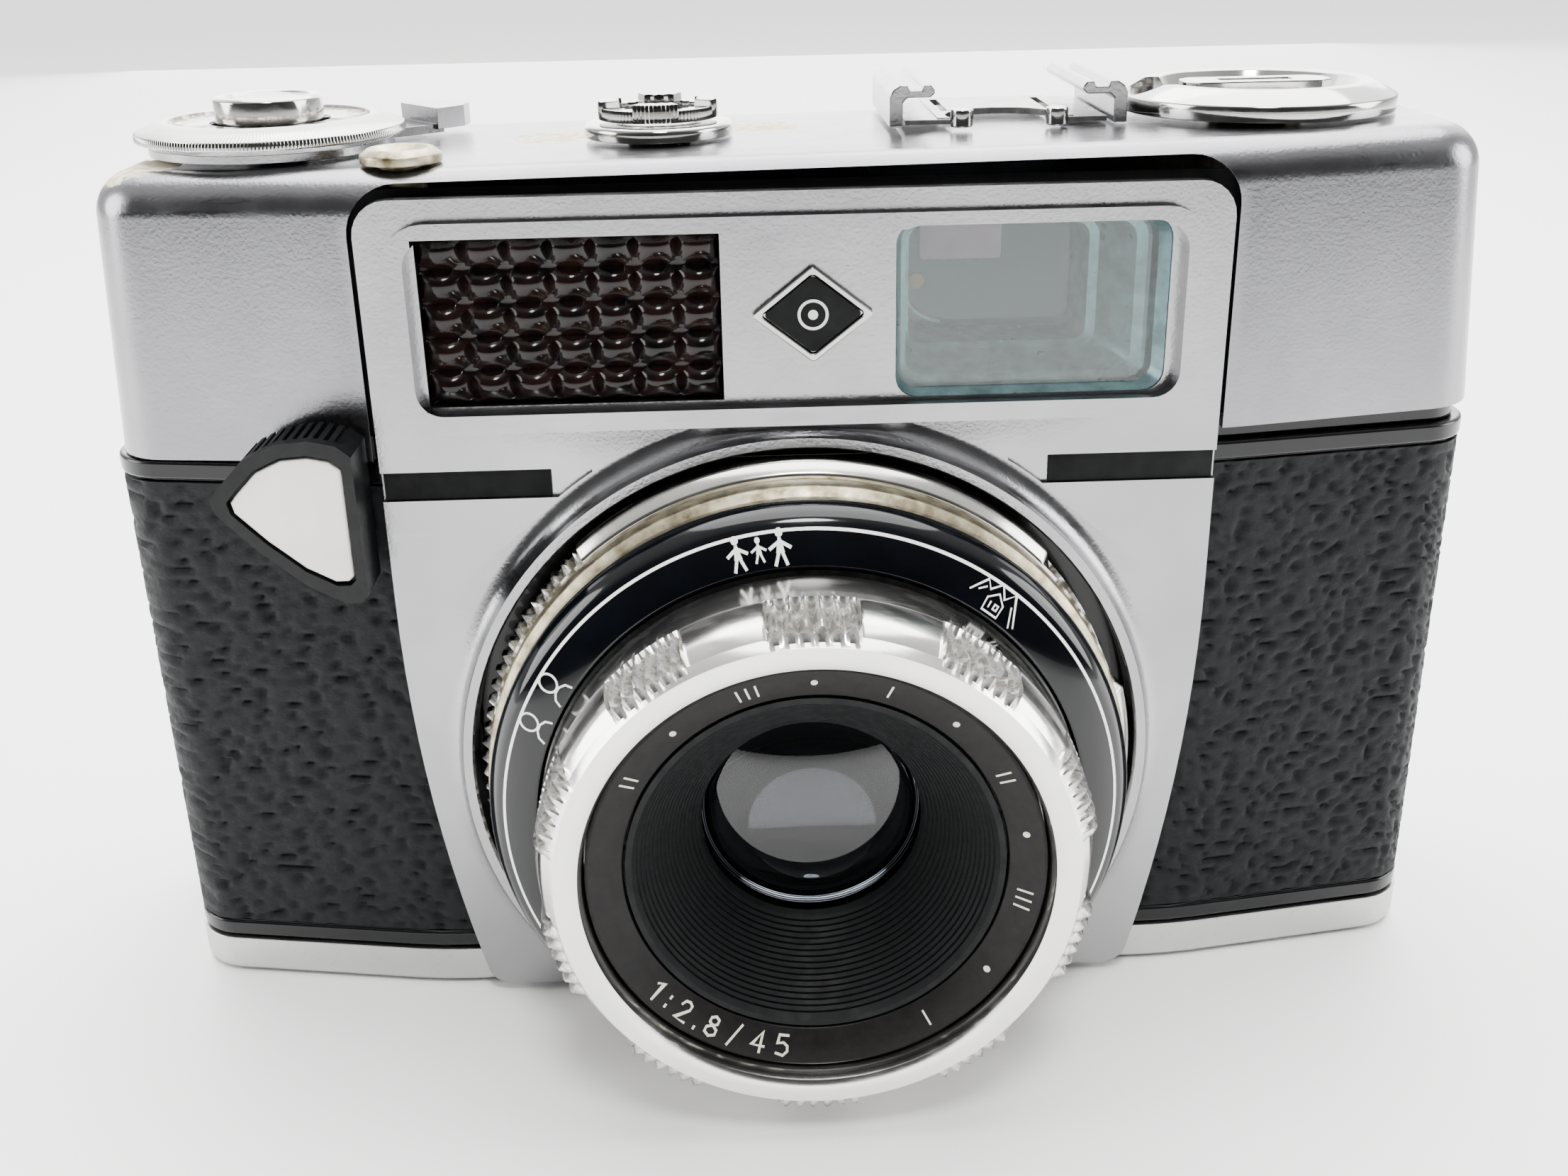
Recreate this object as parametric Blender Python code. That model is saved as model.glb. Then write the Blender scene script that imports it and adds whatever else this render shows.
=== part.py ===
"""A 35 mm viewfinder camera: cast body, pressed covers, lens stack, film transport and back door.

Lengths are in millimetres until a mesh is finished. The frame has its origin under the lens, on the face that
the camera stands on, half way through the body. +X is the viewer's right, -Y the way the lens looks, +Z up.
"""

import math

import bmesh
import bpy
from mathutils import Matrix

MM = 0.001
GAP = 0.3  # between pieces that touch on the real camera
LEATHER_GAP = 0.2  # the glue line under a leather panel

# Body, over the leather
BODY_HALF = 61.5
BODY_DEPTH = 32.6
SWEEP_START = 36.0  # where the front starts to run back towards the ends
SWEEP = 0.16  # run back for each millimetre outwards
FRONT_CORNER = 5.0
BACK_CORNER = 6.0
LEATHER_THICK = 0.6
LEATHER_HEIGHT = 46.0
LOW_BORDER = 2.2
HIGH_BORDER = 1.8
LEATHER_END = 7.4  # how far back the front leathers wrap

# Base plate and top cover
SHEET = 0.9
BASE_HEIGHT = 3.9
BASE_PROUD = 0.2
COVER_PROUD = 0.7
COVER_HEIGHT = 24.4
COVER_ROLL = 3.5
COVER_IN = 0.3  # the cover's ends stand in from the leather's at the foot
COVER_DRAFT = 0.07  # and lean in by this for each millimetre of height
COVER_SHIFT = 0.3  # the cover sits this far towards the rewind end
COVER_SHADOW = 3.0  # height of the dark step between the leather and the cover
COVER_TILT = 0.0122  # the cover sits a little high at the rewind end

# Front trim
TRIM_SIDE = 2.9  # the trim stands out past the collar by this
TRIM_PROUD = 1.8
TRIM_THICK = 1.3
TRIM_DROP = 2.4  # below the top of the cover
TRIM_CORNER = 3.0
TRIM_FOOT = 0.8
APRON_FLARE_TOP = 42.0
APRON_FLARE = 0.0031
RIM_INSET = 3.0
RIM_PROUD = 0.7
RIM_WIDTH = 1.6
RIM_LIFT = 2.7  # the rim's foot above the cover's foot
GROOVE_HEIGHT = 2.8
GROOVE_DEPTH = 0.5
METER_WINDOW = (-31.6, -6.2)
BADGE_PLATE = (-6.2, 8.05)
FINDER_WINDOW = (8.3, 31.0)
BADGE_HALF = (5.2, 4.1)

# Lens stack, radii and lengths along the axis
LENS_Z = 25.5
COLLAR_WALL = 3.0
COLLAR_RISE = 2.2
COLLAR_CLEAR = 0.7  # round the setting ring
SETTING_R = 29.6
SETTING_LENGTH = 3.4
BRASS_R = 28.5
BRASS_LENGTH = 2.9
SYMBOL_R = 28.0
SYMBOL_WALL = 3.4
SYMBOL_SLOPE = 1.6
SYMBOL_MOUTH = 23.2
FOCUS_R = 23.2
FOCUS_LENGTH = 9.8
FOCUS_BEVEL = 1.6
NAME_R = 18.9
NAME_MOUTH = 15.8
NAME_SLOPE = 1.3
CONE_DEPTH = 7.8
GLASS_R = 8.6
BARREL_R = 24.6
REAR_BARREL_R = 20.6
RING_FLAT = 0.4  # the fixed rings are flat below, so that the base stands on a table
SETTING_OPEN = 50.0  # half the angle that the setting ring leaves open below

# Dials on the cover: distance in from the body's end, distance back from mid-depth
WIND_IN = 15.5
WIND_BACK = -1.0
WIND_R = 11.7
WIND_WALL = 1.6
WIND_TOP = 3.1
COUNTER_R = 4.7
COUNTER_HEIGHT = 1.8
LEVER_LENGTH = 19.5
LEVER_TOP = 2.8
REWIND_IN = 18.4
REWIND_BACK = 1.8
REWIND_R = 12.3
REWIND_WALL = 1.4
REWIND_TOP = 2.9
REWIND_RECESS = 1.2
REMINDER_X = -11.6
REMINDER_BACK = -1.5
REMINDER_R = 6.6
SOCKET_R = 3.4
SOCKET_OFF = 2.3

# Accessory shoe
SHOE_CLEAR = 0.85  # between the shoe and the rewind knob
SHOE_FRONT = -4.0
SHOE_LENGTH = 18.0
SHOE_SLOT = 18.7
SHOE_GAP = 13.0
SHOE_WALL = 1.2
SHOE_SLOT_HEIGHT = 1.9
SHOE_LIP = 1.1
STOP_PIN_R = 1.0
STOP_PIN_OFF = 4.2

# Film transport
CHAMBER_FLOOR = 2.6
CHAMBER_HEIGHT = 48.8
CHAMBER_WIDTH = 29.5
CHAMBER_FRONT_WALL = 4.5
END_WALL = 4.1
DECK_INSET = 2.1
FILM_BACK = 4.5  # the film plane in from the back of the door's leather
GATE_HALF = (18.0, 12.0)
SPROCKET_X = -28.0
SPROCKET_R = 6.0
SPOOL_R = 5.6
SPOOL_FLANGE_R = 9.0

# Release lever
RELEASE_TRAVEL = 5.0
RELEASE_THICK = 5.4

# Door
DOOR_SPLIT = 9.5
DOOR_SHEET = 1.0
DOOR_INSET = 0.2
HINGE_R = 1.3
PIN_R = 0.7

# Small parts of the body
TRIPOD_X = 13.0
TRIPOD_Y = 0.0
TRIPOD_R = 5.0
SCREW_R = 1.8
SCREW_Y = 11.0
SCREW_IN = 30.0
GATE_THICK = 1.4

BIG_STEPS = 40
RING_STEPS = 32
SMALL_STEPS = 16

# Places worked out from the sizes above
LEATHER_LOW = BASE_HEIGHT + LOW_BORDER
LEATHER_TOP = LEATHER_LOW + LEATHER_HEIGHT
COVER_FOOT = LEATHER_TOP + COVER_SHADOW
COVER_TOP = COVER_FOOT + COVER_HEIGHT
DECK = COVER_FOOT + 0.9
FRONT = -BODY_DEPTH / 2
BACK = BODY_DEPTH / 2
FILM_Y = BACK - FILM_BACK
TRIM_FACE = FRONT - TRIM_PROUD
TRIM_TOP = COVER_TOP - TRIM_DROP
RIM_LOW = COVER_FOOT + RIM_LIFT
RIM_TOP = TRIM_TOP - 2.1
WINDOW_LOW = RIM_LOW + RIM_WIDTH
WINDOW_TOP = RIM_TOP - RIM_WIDTH + 1.0
WIND_X = WIND_IN - BODY_HALF
REWIND_X = BODY_HALF - REWIND_IN
SHOE_X = REWIND_X - REWIND_R - SHOE_CLEAR - SHOE_WALL - SHOE_SLOT / 2
COLLAR_BORE = SETTING_R + COLLAR_CLEAR
COLLAR_R = COLLAR_BORE + COLLAR_WALL
TRIM_HALF = COLLAR_R + TRIM_SIDE
CHAMBER_FRONT = FRONT + CHAMBER_FRONT_WALL
CHAMBER_TOP = CHAMBER_FLOOR + CHAMBER_HEIGHT
HINGE_X = -BODY_HALF - HINGE_R - 0.2
HINGE_Y = DOOR_SPLIT + 0.1
SETTING_BACK = TRIM_FACE - 0.5
BRASS_BACK = SETTING_BACK - SETTING_LENGTH - GAP
SYMBOL_BACK = BRASS_BACK - BRASS_LENGTH - GAP
SYMBOL_FACE = SYMBOL_BACK - SYMBOL_WALL
FOCUS_BACK = SYMBOL_FACE - SYMBOL_SLOPE - 0.6
FOCUS_FRONT = FOCUS_BACK - FOCUS_LENGTH
NAME_FRONT = FOCUS_FRONT + 1.6
CONE_FRONT = NAME_FRONT + NAME_SLOPE
GLASS_FRONT = CONE_FRONT + CONE_DEPTH

KNUCKLE_LENGTH = LEATHER_HEIGHT / 4
CHASSIS_KNUCKLES = ((LEATHER_LOW, LEATHER_LOW + KNUCKLE_LENGTH), (LEATHER_TOP - KNUCKLE_LENGTH, LEATHER_TOP))
BASE_SCREWS = (SCREW_IN - BODY_HALF, BODY_HALF - SCREW_IN)
LATCH_NOTCH = (LEATHER_LOW + 16.0, LEATHER_LOW + 34.0)
STEM_X = (-TRIM_HALF - 5.6, -TRIM_HALF - 3.2)
STEM_Z = (LEATHER_TOP - 6.0, LEATHER_TOP - 2.0)

EYEPIECE = ((FINDER_WINDOW[0] + FINDER_WINDOW[1]) / 2, (WINDOW_LOW + WINDOW_TOP) / 2)
BADGE_CENTRE = ((BADGE_PLATE[0] + BADGE_PLATE[1]) / 2 + 0.3, (WINDOW_LOW + WINDOW_TOP) / 2)
METER_MOVEMENT = (-20.0, 2.0)
COVER_SCREW_Y = 0.0
COVER_SCREW_Z = COVER_FOOT + 8.0
LATCH_TRAVEL = 3.0
QUARTER_TURN = Matrix.Rotation(math.radians(-90.0), 3, "Z")
BLADE_FAN = [math.radians(a) for a in (-60, -30, 0, 30, 60)]

FINISHES = {
    "satin_chrome": ((0.62, 0.62, 0.63), 0.34, 1.0),
    "bright_chrome": ((0.78, 0.78, 0.77), 0.12, 1.0),
    "brass": ((0.62, 0.50, 0.32), 0.32, 1.0),
    "steel": ((0.50, 0.50, 0.50), 0.30, 1.0),
    "aluminium": ((0.74, 0.74, 0.75), 0.28, 1.0),
    "black_paint": ((0.012, 0.013, 0.015), 0.35, 0.0),
    "black_lacquer": ((0.010, 0.012, 0.018), 0.10, 0.0),
    "matt_black": ((0.020, 0.020, 0.021), 0.75, 0.0),
    "leather": ((0.022, 0.025, 0.028), 0.55, 0.0),
    "black_plastic": ((0.020, 0.021, 0.023), 0.45, 0.0),
    "white_plastic": ((0.86, 0.83, 0.78), 0.40, 0.0),
    "meter_lens": ((0.015, 0.013, 0.012), 0.08, 0.0),
    "selenium": ((0.06, 0.045, 0.04), 0.30, 0.3),
    "glass": ((0.55, 0.62, 0.70), 0.03, 0.0),
    "tinted_glass": ((0.35, 0.55, 0.56), 0.04, 0.0),
}


def clear_scene():
    for obj in list(bpy.data.objects):
        bpy.data.objects.remove(obj, do_unlink=True)


def finish_of(name):
    """The material of a finish, made the first time that it is asked for."""
    found = bpy.data.materials.get(name)
    if found:
        return found
    colour, roughness, metallic = FINISHES[name]
    made = bpy.data.materials.new(name)
    made.use_nodes = True
    shader = made.node_tree.nodes["Principled BSDF"]
    shader.inputs["Base Color"].default_value = (*colour, 1.0)
    shader.inputs["Roughness"].default_value = roughness
    shader.inputs["Metallic"].default_value = metallic
    return made


def piece(name, bm, finish, pivot=(0.0, 0.0, 0.0)):
    """An object from a mesh drawn in place, with its origin moved to the pivot that it turns or slides on."""
    bmesh.ops.remove_doubles(bm, verts=bm.verts, dist=1e-4)
    bmesh.ops.recalc_face_normals(bm, faces=bm.faces)
    if bm.calc_volume(signed=True) < 0.0:
        bmesh.ops.reverse_faces(bm, faces=bm.faces)
    bmesh.ops.translate(bm, vec=[-v for v in pivot], verts=bm.verts)
    bmesh.ops.scale(bm, vec=(MM, MM, MM), verts=bm.verts)
    mesh = bpy.data.meshes.new(name)
    bm.to_mesh(mesh)
    bm.free()
    mesh.shade_smooth()
    mesh.set_sharp_from_angle(angle=math.radians(35))
    obj = bpy.data.objects.new(name, mesh)
    obj.location = [v * MM for v in pivot]
    obj.data.materials.append(finish_of(finish))
    bpy.context.scene.collection.objects.link(obj)
    return obj


def boolean(target, operation, tools):
    """Adds or takes away shapes, which stay in the file as wire guides."""
    for number, bm in enumerate(tools):
        tool = piece(f"tool_{target.name}_{operation.lower()}_{number}", bm, "steel")
        tool.hide_render = True
        tool.display_type = "WIRE"
        modifier = target.modifiers.new(tool.name, "BOOLEAN")
        modifier.operation = operation
        modifier.solver = "EXACT"
        modifier.object = tool


def cut(target, *tools):
    boolean(target, "DIFFERENCE", tools)


def join(target, *tools):
    boolean(target, "UNION", tools)


def arc(cx, cy, radius, start, end, steps):
    """Points on an arc, its angles in degrees."""
    angles = [math.radians(start + (end - start) * i / steps) for i in range(steps + 1)]
    return [(cx + radius * math.cos(a), cy + radius * math.sin(a)) for a in angles]


def loft(sections):
    """A closed solid through outlines of equal point count, each a list of (x, y, z) points, from low to high."""
    bm = bmesh.new()
    rings = [[bm.verts.new(point) for point in section] for section in sections]
    for low, high in zip(rings, rings[1:]):
        for i, corner in enumerate(low):
            after = (i + 1) % len(low)
            bm.faces.new((corner, low[after], high[after], high[i]))
    bm.faces.new(rings[0][::-1])
    bm.faces.new(rings[-1])
    return bm


def prism(outline, low, high, axis="Z"):
    """An outline drawn across an axis, and extruded along it. Across Y it is (x, z), across X it is (y, z)."""
    place = {
        "Z": lambda a, b, h: (a, b, h),
        "Y": lambda a, b, h: (a, h, b),
        "X": lambda a, b, h: (h, a, b),
    }[axis]
    return loft([[place(a, b, h) for a, b in outline] for h in (low, high)])


def block(x, y, z):
    """A box from its low and high X, Y and Z."""
    return prism([(x[0], y[0]), (x[1], y[0]), (x[1], y[1]), (x[0], y[1])], z[0], z[1])


def turned(profile, centre, axis="Y", steps=RING_STEPS):
    """A closed profile of (radius, height) points, spun about an axis through centre, (x, z) for Y, (x, y) for Z."""
    bm = bmesh.new()
    if axis == "Y":
        places = [(centre[0] + r, h, centre[1]) for r, h in profile]
        middle, direction = (centre[0], 0.0, centre[1]), (0.0, 1.0, 0.0)
    else:
        places = [(centre[0] + r, centre[1], h) for r, h in profile]
        middle, direction = (centre[0], centre[1], 0.0), (0.0, 0.0, 1.0)
    verts = [bm.verts.new(place) for place in places]
    pairs = zip(range(len(verts)), list(range(1, len(verts))) + [0])
    edges = [bm.edges.new((verts[a], verts[b])) for a, b in pairs if profile[a][0] or profile[b][0]]
    bmesh.ops.spin(
        bm, geom=verts + edges, cent=middle, axis=direction, angle=math.tau, steps=steps, use_merge=True
    )
    bmesh.ops.remove_doubles(bm, verts=bm.verts, dist=1e-4)
    return bm


def ring(inner, outer, low, high, centre, axis="Y", steps=RING_STEPS):
    return turned([(inner, low), (outer, low), (outer, high), (inner, high)], centre, axis, steps)


def disc(radius, low, high, centre, axis="Y", steps=RING_STEPS):
    return turned([(0.0, low), (radius, low), (radius, high), (0.0, high)], centre, axis, steps)


def cover_z(x):
    """Height of the top plate's surface at x."""
    return COVER_TOP + COVER_TILT * x


def plan(inset, steps=4, pull=0.0):
    """The body from above, this far in from the leather's surface, and its ends in by pull more. Anticlockwise."""
    half, front, back = BODY_HALF - inset - pull, FRONT + inset, BACK - inset
    near, far = FRONT_CORNER - inset, BACK_CORNER - inset
    lean = math.hypot(1.0, SWEEP)
    start = SWEEP_START - inset * (lean - 1.0) / SWEEP
    corner_y = front + SWEEP * (half - near - start) + near * lean
    tilt = math.degrees(math.atan(SWEEP))
    right = [(start, front)]
    right += arc(half - near, corner_y, near, tilt - 90.0, 0.0, steps)
    right += arc(half - far, back - far, far, 0.0, 90.0, steps)
    return right + [(-x, y) for x, y in reversed(right)]


def level(inset, z):
    return [(x, y, z) for x, y in plan(inset)]


def cover_pull(z):
    """How far the cover's ends stand in from the body's at a height."""
    return COVER_IN + COVER_PROUD + COVER_DRAFT * (z - COVER_FOOT)


def cover_face(z, side):
    """X of the cover's left (-1) or right (1) end at a height."""
    return side * (BODY_HALF + COVER_PROUD - cover_pull(z)) + COVER_SHIFT - COVER_TILT * (z - COVER_FOOT)


def cover_shell(inset, foot, top, roll):
    """A cap this far in from the cover's surface, its top edge rolled, its ends leaning in, and all of it tilted."""
    sections = [(0.0, foot)]
    for a in (math.radians(step) for step in (0, 22, 45, 67, 90)):
        sections.append((roll * (1 - math.cos(a)), top - roll + roll * math.sin(a)))
    outlines = []
    for inward, z in sections:
        path = plan(inset - COVER_PROUD + inward, pull=cover_pull(z))
        across = COVER_SHIFT - COVER_TILT * (z - COVER_FOOT)
        outlines.append([(x + across, y, z + COVER_TILT * x) for x, y in path])
    return loft(outlines)


def trim_half(z):
    """Half the width of the trim at a height: straight above, flaring in towards the foot."""
    return TRIM_HALF - APRON_FLARE * max(0.0, APRON_FLARE_TOP - z) ** 2


def trim_outline(grow=0.0, head=0.0):
    """The trim from the front, larger all round by grow, and by head at the top."""
    heights = [TRIM_FOOT - grow + (APRON_FLARE_TOP - TRIM_FOOT) * i / 6 for i in range(7)]
    side = [(trim_half(z) + grow, z) for z in heights]
    top = TRIM_TOP + grow + head
    corner = arc(TRIM_HALF + grow - TRIM_CORNER, top - TRIM_CORNER, TRIM_CORNER, 0.0, 90.0, 4)
    right = side + corner
    return right + [(-x, z) for x, z in reversed(right)]


def rounded_box(x, z, radius, steps=3):
    """A rectangle of low and high X and Z with round corners."""
    corners = [
        (x[1] - radius, z[0] + radius, -90.0),
        (x[1] - radius, z[1] - radius, 0.0),
        (x[0] + radius, z[1] - radius, 90.0),
        (x[0] + radius, z[0] + radius, 180.0),
    ]
    return [p for cx, cz, a in corners for p in arc(cx, cz, radius, a, a + 90.0, steps)]


def lens(profile, steps=RING_STEPS):
    return turned(profile, (0.0, LENS_Z), "Y", steps)


def lens_ring(inner, outer, front, back, steps=RING_STEPS):
    return ring(inner, outer, front, back, (0.0, LENS_Z), "Y", steps)


def chambers():
    """The hollow behind the film: cassette side, take-up side with the sprocket's pocket, and the film's path."""
    outer, back = BODY_HALF - END_WALL, BACK + 2.0
    path_y = FILM_Y - GATE_THICK - 2 * GAP
    pocket_y = FILM_Y - SPROCKET_R - 8.0
    takeup_x = CHAMBER_WIDTH - outer - 6.0
    pocket_x = SPROCKET_X + SPROCKET_R + 1.7
    outline = [
        (-outer, CHAMBER_FRONT), (takeup_x, CHAMBER_FRONT), (takeup_x, pocket_y), (pocket_x, pocket_y),
        (pocket_x, path_y), (outer - CHAMBER_WIDTH, path_y), (outer - CHAMBER_WIDTH, CHAMBER_FRONT),
        (outer, CHAMBER_FRONT), (outer, back), (-outer, back),
    ]
    return prism(outline, CHAMBER_FLOOR, CHAMBER_TOP)


def build_chassis():
    tiers = [
        (1.1, SHEET + GAP), (1.1, BASE_HEIGHT + GAP), (0.2, BASE_HEIGHT + GAP), (0.2, LEATHER_LOW - 0.2),
        (LEATHER_THICK + LEATHER_GAP, LEATHER_LOW - 0.2), (LEATHER_THICK + LEATHER_GAP, LEATHER_TOP + 0.2),
        (0.2, LEATHER_TOP + 0.2), (0.2, LEATHER_TOP + HIGH_BORDER), (DECK_INSET, LEATHER_TOP + HIGH_BORDER),
        (DECK_INSET, DECK),
    ]
    body = piece("chassis", loft([level(inset, z) for inset, z in tiers]), "black_paint")
    cut(body, chambers())
    # The door's walls close round the back and the ends.
    wide, low = BODY_HALF + 5.0, BASE_HEIGHT + GAP + 0.3
    start = DOOR_SPLIT - GAP
    around = [(wide, start), (wide, BACK + 3.0), (-wide, BACK + 3.0), (-wide, start)]
    around += door_path(DOOR_SHEET + GAP, start)
    cut(body, prism(around, low, DECK + 1.0))
    # Lens bore and light tunnel.
    cut(body, disc(REAR_BARREL_R + GAP, FRONT - 2.0, FRONT + 8.0, (0.0, LENS_Z)))
    half_x, half_z = GATE_HALF
    cut(body, block((-half_x, half_x), (FRONT + 7.0, BACK + 3.0), (LENS_Z - half_z, LENS_Z + half_z)))
    # Shafts through the deck, and the recess that the release stem slides in.
    for x, y, radius in ((WIND_X, WIND_BACK, 3.3), (REWIND_X, REWIND_BACK, 3.1)):
        cut(body, disc(radius, CHAMBER_TOP - 1.0, DECK + 1.0, (x, y), "Z", SMALL_STEPS))
    cut(body, disc(2.4, CHAMBER_TOP - 1.0, DECK - 1.5, (SPROCKET_X, FILM_Y - SPROCKET_R - 0.3), "Z", 12))
    low, top = STEM_Z
    cut(body, block(grown(STEM_X, GAP), (FRONT - 3.0, FRONT + 3.4), (low - RELEASE_TRAVEL - GAP, top + GAP)))
    # Tripod bush, base screws and the notch that the latch's hook drops into.
    cut(body, disc(TRIPOD_R + GAP, 0.0, CHAMBER_FLOOR + 6.0, (TRIPOD_X, TRIPOD_Y), "Z", SMALL_STEPS))
    for x in BASE_SCREWS:
        cut(body, disc(SCREW_R + GAP, 0.0, 2.2, (x, SCREW_Y), "Z", 12))
    cut(body, block((BODY_HALF - 3.6, BODY_HALF - 1.2), (DOOR_SPLIT - 3.4, BACK + 3.0), LATCH_NOTCH))
    for low, high in CHASSIS_KNUCKLES:
        join(body, prism(knuckle(-BODY_HALF + 2.0, 1), low, high))
        cut(body, disc(PIN_R + 0.15, low - 1.0, high + 1.0, (HINGE_X, HINGE_Y), "Z", 12))


def door_path(inset, start):
    """The inner or outer face of the door's shell from above, from the left end round the back to the right end."""
    back = BACK - LEATHER_THICK - LEATHER_GAP - inset
    half = BODY_HALF - DOOR_INSET - inset
    path = [(x, min(y, back)) for x, y in plan(DOOR_INSET + inset) if y > 0.0 and x > 0.0]
    right = [(half, start)] + path
    return [(-x, y) for x, y in right] + right[::-1]


def knuckle(root, side):
    """A hinge knuckle from above, with its web to the body in front of the pin (1) or to the door behind it (-1)."""
    outline = [(root, -2.3), (root, -0.6)] + arc(HINGE_X, 0.0, HINGE_R, -27.0, 250.0, 10)
    outline = [(x, HINGE_Y + side * y) for x, y in outline]
    return outline[::side]


def grown(span, amount):
    return (span[0] - amount, span[1] + amount)


def build_base():
    """The bottom cover: a shallow tray with the tripod bush and its screws."""
    inset = -BASE_PROUD
    sections = [level(inset + 0.9, 0.0), level(inset + 0.25, 0.25), level(inset, 0.9), level(inset, BASE_HEIGHT)]
    base = piece("base_plate", loft(sections), "satin_chrome")
    cut(base, loft([level(inset + SHEET, SHEET), level(inset + SHEET, BASE_HEIGHT + 1.0)]))
    cut(base, disc(TRIPOD_R - 0.8, -1.0, 2.0, (TRIPOD_X, TRIPOD_Y), "Z", SMALL_STEPS))
    for x in BASE_SCREWS:
        cut(base, disc(1.2, -1.0, 2.0, (x, SCREW_Y), "Z", 12))
    bush = [(3.2, 1.2), (TRIPOD_R, 1.2), (TRIPOD_R, CHAMBER_FLOOR + 5.4), (3.2, CHAMBER_FLOOR + 5.4)]
    piece("tripod_bush", turned(bush, (TRIPOD_X, TRIPOD_Y), "Z", SMALL_STEPS), "steel")
    for side, x in zip(("left", "right"), BASE_SCREWS):
        screw = [(0.0, 0.4), (0.95, 0.4), (0.95, 1.2), (SCREW_R, 1.2), (SCREW_R, 1.9), (0.0, 1.9)]
        piece(f"base_screw_{side}", turned(screw, (x, SCREW_Y), "Z", 12), "steel")


def build_cover():
    """The top cover: a cap with a rolled edge, cut out in front for the trim."""
    cover = piece("top_cover", cover_shell(0.0, COVER_FOOT, COVER_TOP, COVER_ROLL), "satin_chrome")
    cut(cover, cover_shell(SHEET, COVER_FOOT - 4.0, COVER_TOP - SHEET, COVER_ROLL - SHEET + 0.2))
    half, top = TRIM_HALF + 0.7, COVER_TOP - 1.0
    window = [(-half, COVER_FOOT - 5.0), (half, COVER_FOOT - 5.0)]
    window += arc(half - TRIM_CORNER, top - TRIM_CORNER, TRIM_CORNER, 0.0, 90.0, 4)
    window += arc(TRIM_CORNER - half, top - TRIM_CORNER, TRIM_CORNER, 90.0, 180.0, 4)
    leaning = [(x, z + COVER_TILT * x) for x, z in window]
    cut(cover, prism(leaning, FRONT - 4.0, FRONT + 3.0, "Y"))
    holes = [
        (WIND_X, WIND_BACK, 3.6), (REWIND_X, REWIND_BACK, 4.6), (*socket_place(), 2.2),
        (REMINDER_X, REMINDER_BACK, 3.0),
    ]
    for x, y, radius in holes:
        cut(cover, disc(radius, COVER_TOP - 5.0, COVER_TOP + 3.0, (x, y), "Z", SMALL_STEPS))
    x, z = EYEPIECE
    cut(cover, block((x - 5.3, x + 5.3), (BACK - 4.0, BACK + 4.0), (z - 3.8, z + 3.8)))
    for side in (-1, 1):
        face = cover_face(COVER_SCREW_Z, side)
        bore = arc(COVER_SCREW_Y, COVER_SCREW_Z, 1.1, 0.0, 330.0, 11)
        cut(cover, prism(bore, face - 6.0, face + 6.0, "X"))
    for name, side in (("left", -1), ("right", 1)):
        face = cover_face(COVER_SCREW_Z, side)
        profile = [(0.0, -3.2), (0.8, -3.2), (0.8, 0.4), (1.8, 0.4), (1.6, 0.9), (0.0, 0.9)]
        screw = turned([(r, face + side * h) for r, h in profile], (0.0, COVER_SCREW_Z), "Y", 12)
        bmesh.ops.rotate(screw, cent=(0.0, 0.0, 0.0), matrix=QUARTER_TURN, verts=screw.verts)
        bmesh.ops.translate(screw, vec=(0.0, COVER_SCREW_Y, 0.0), verts=screw.verts)
        piece(f"cover_screw_{name}", screw, "steel")


def build_leathers():
    """The two front coverings, from the trim round each end."""
    outer = [p for p in plan(0.0) if p[0] > 20.0 and p[1] < LEATHER_END]
    inner = [p for p in plan(LEATHER_THICK) if p[0] > 20.0 and p[1] < LEATHER_END]
    near, half = trim_half(LEATHER_LOW) - 2.0, BODY_HALF
    strip = [(near, FRONT)] + outer + [(half, LEATHER_END), (half - LEATHER_THICK, LEATHER_END)]
    strip += inner[::-1] + [(near, FRONT + LEATHER_THICK)]
    for name, side in (("left", -1), ("right", 1)):
        outline = [(side * x, y) for x, y in strip][::side]
        panel = piece(f"leather_{name}", prism(outline, LEATHER_LOW, LEATHER_TOP), "leather")
        cut(panel, prism(trim_outline(GAP), FRONT - 4.0, FRONT + 4.0, "Y"))
        if side < 0:
            low, top = STEM_Z
            cut(panel, block(grown(STEM_X, GAP), (FRONT - 3.0, FRONT + 3.0), (low - RELEASE_TRAVEL - GAP, top + GAP)))


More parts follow.
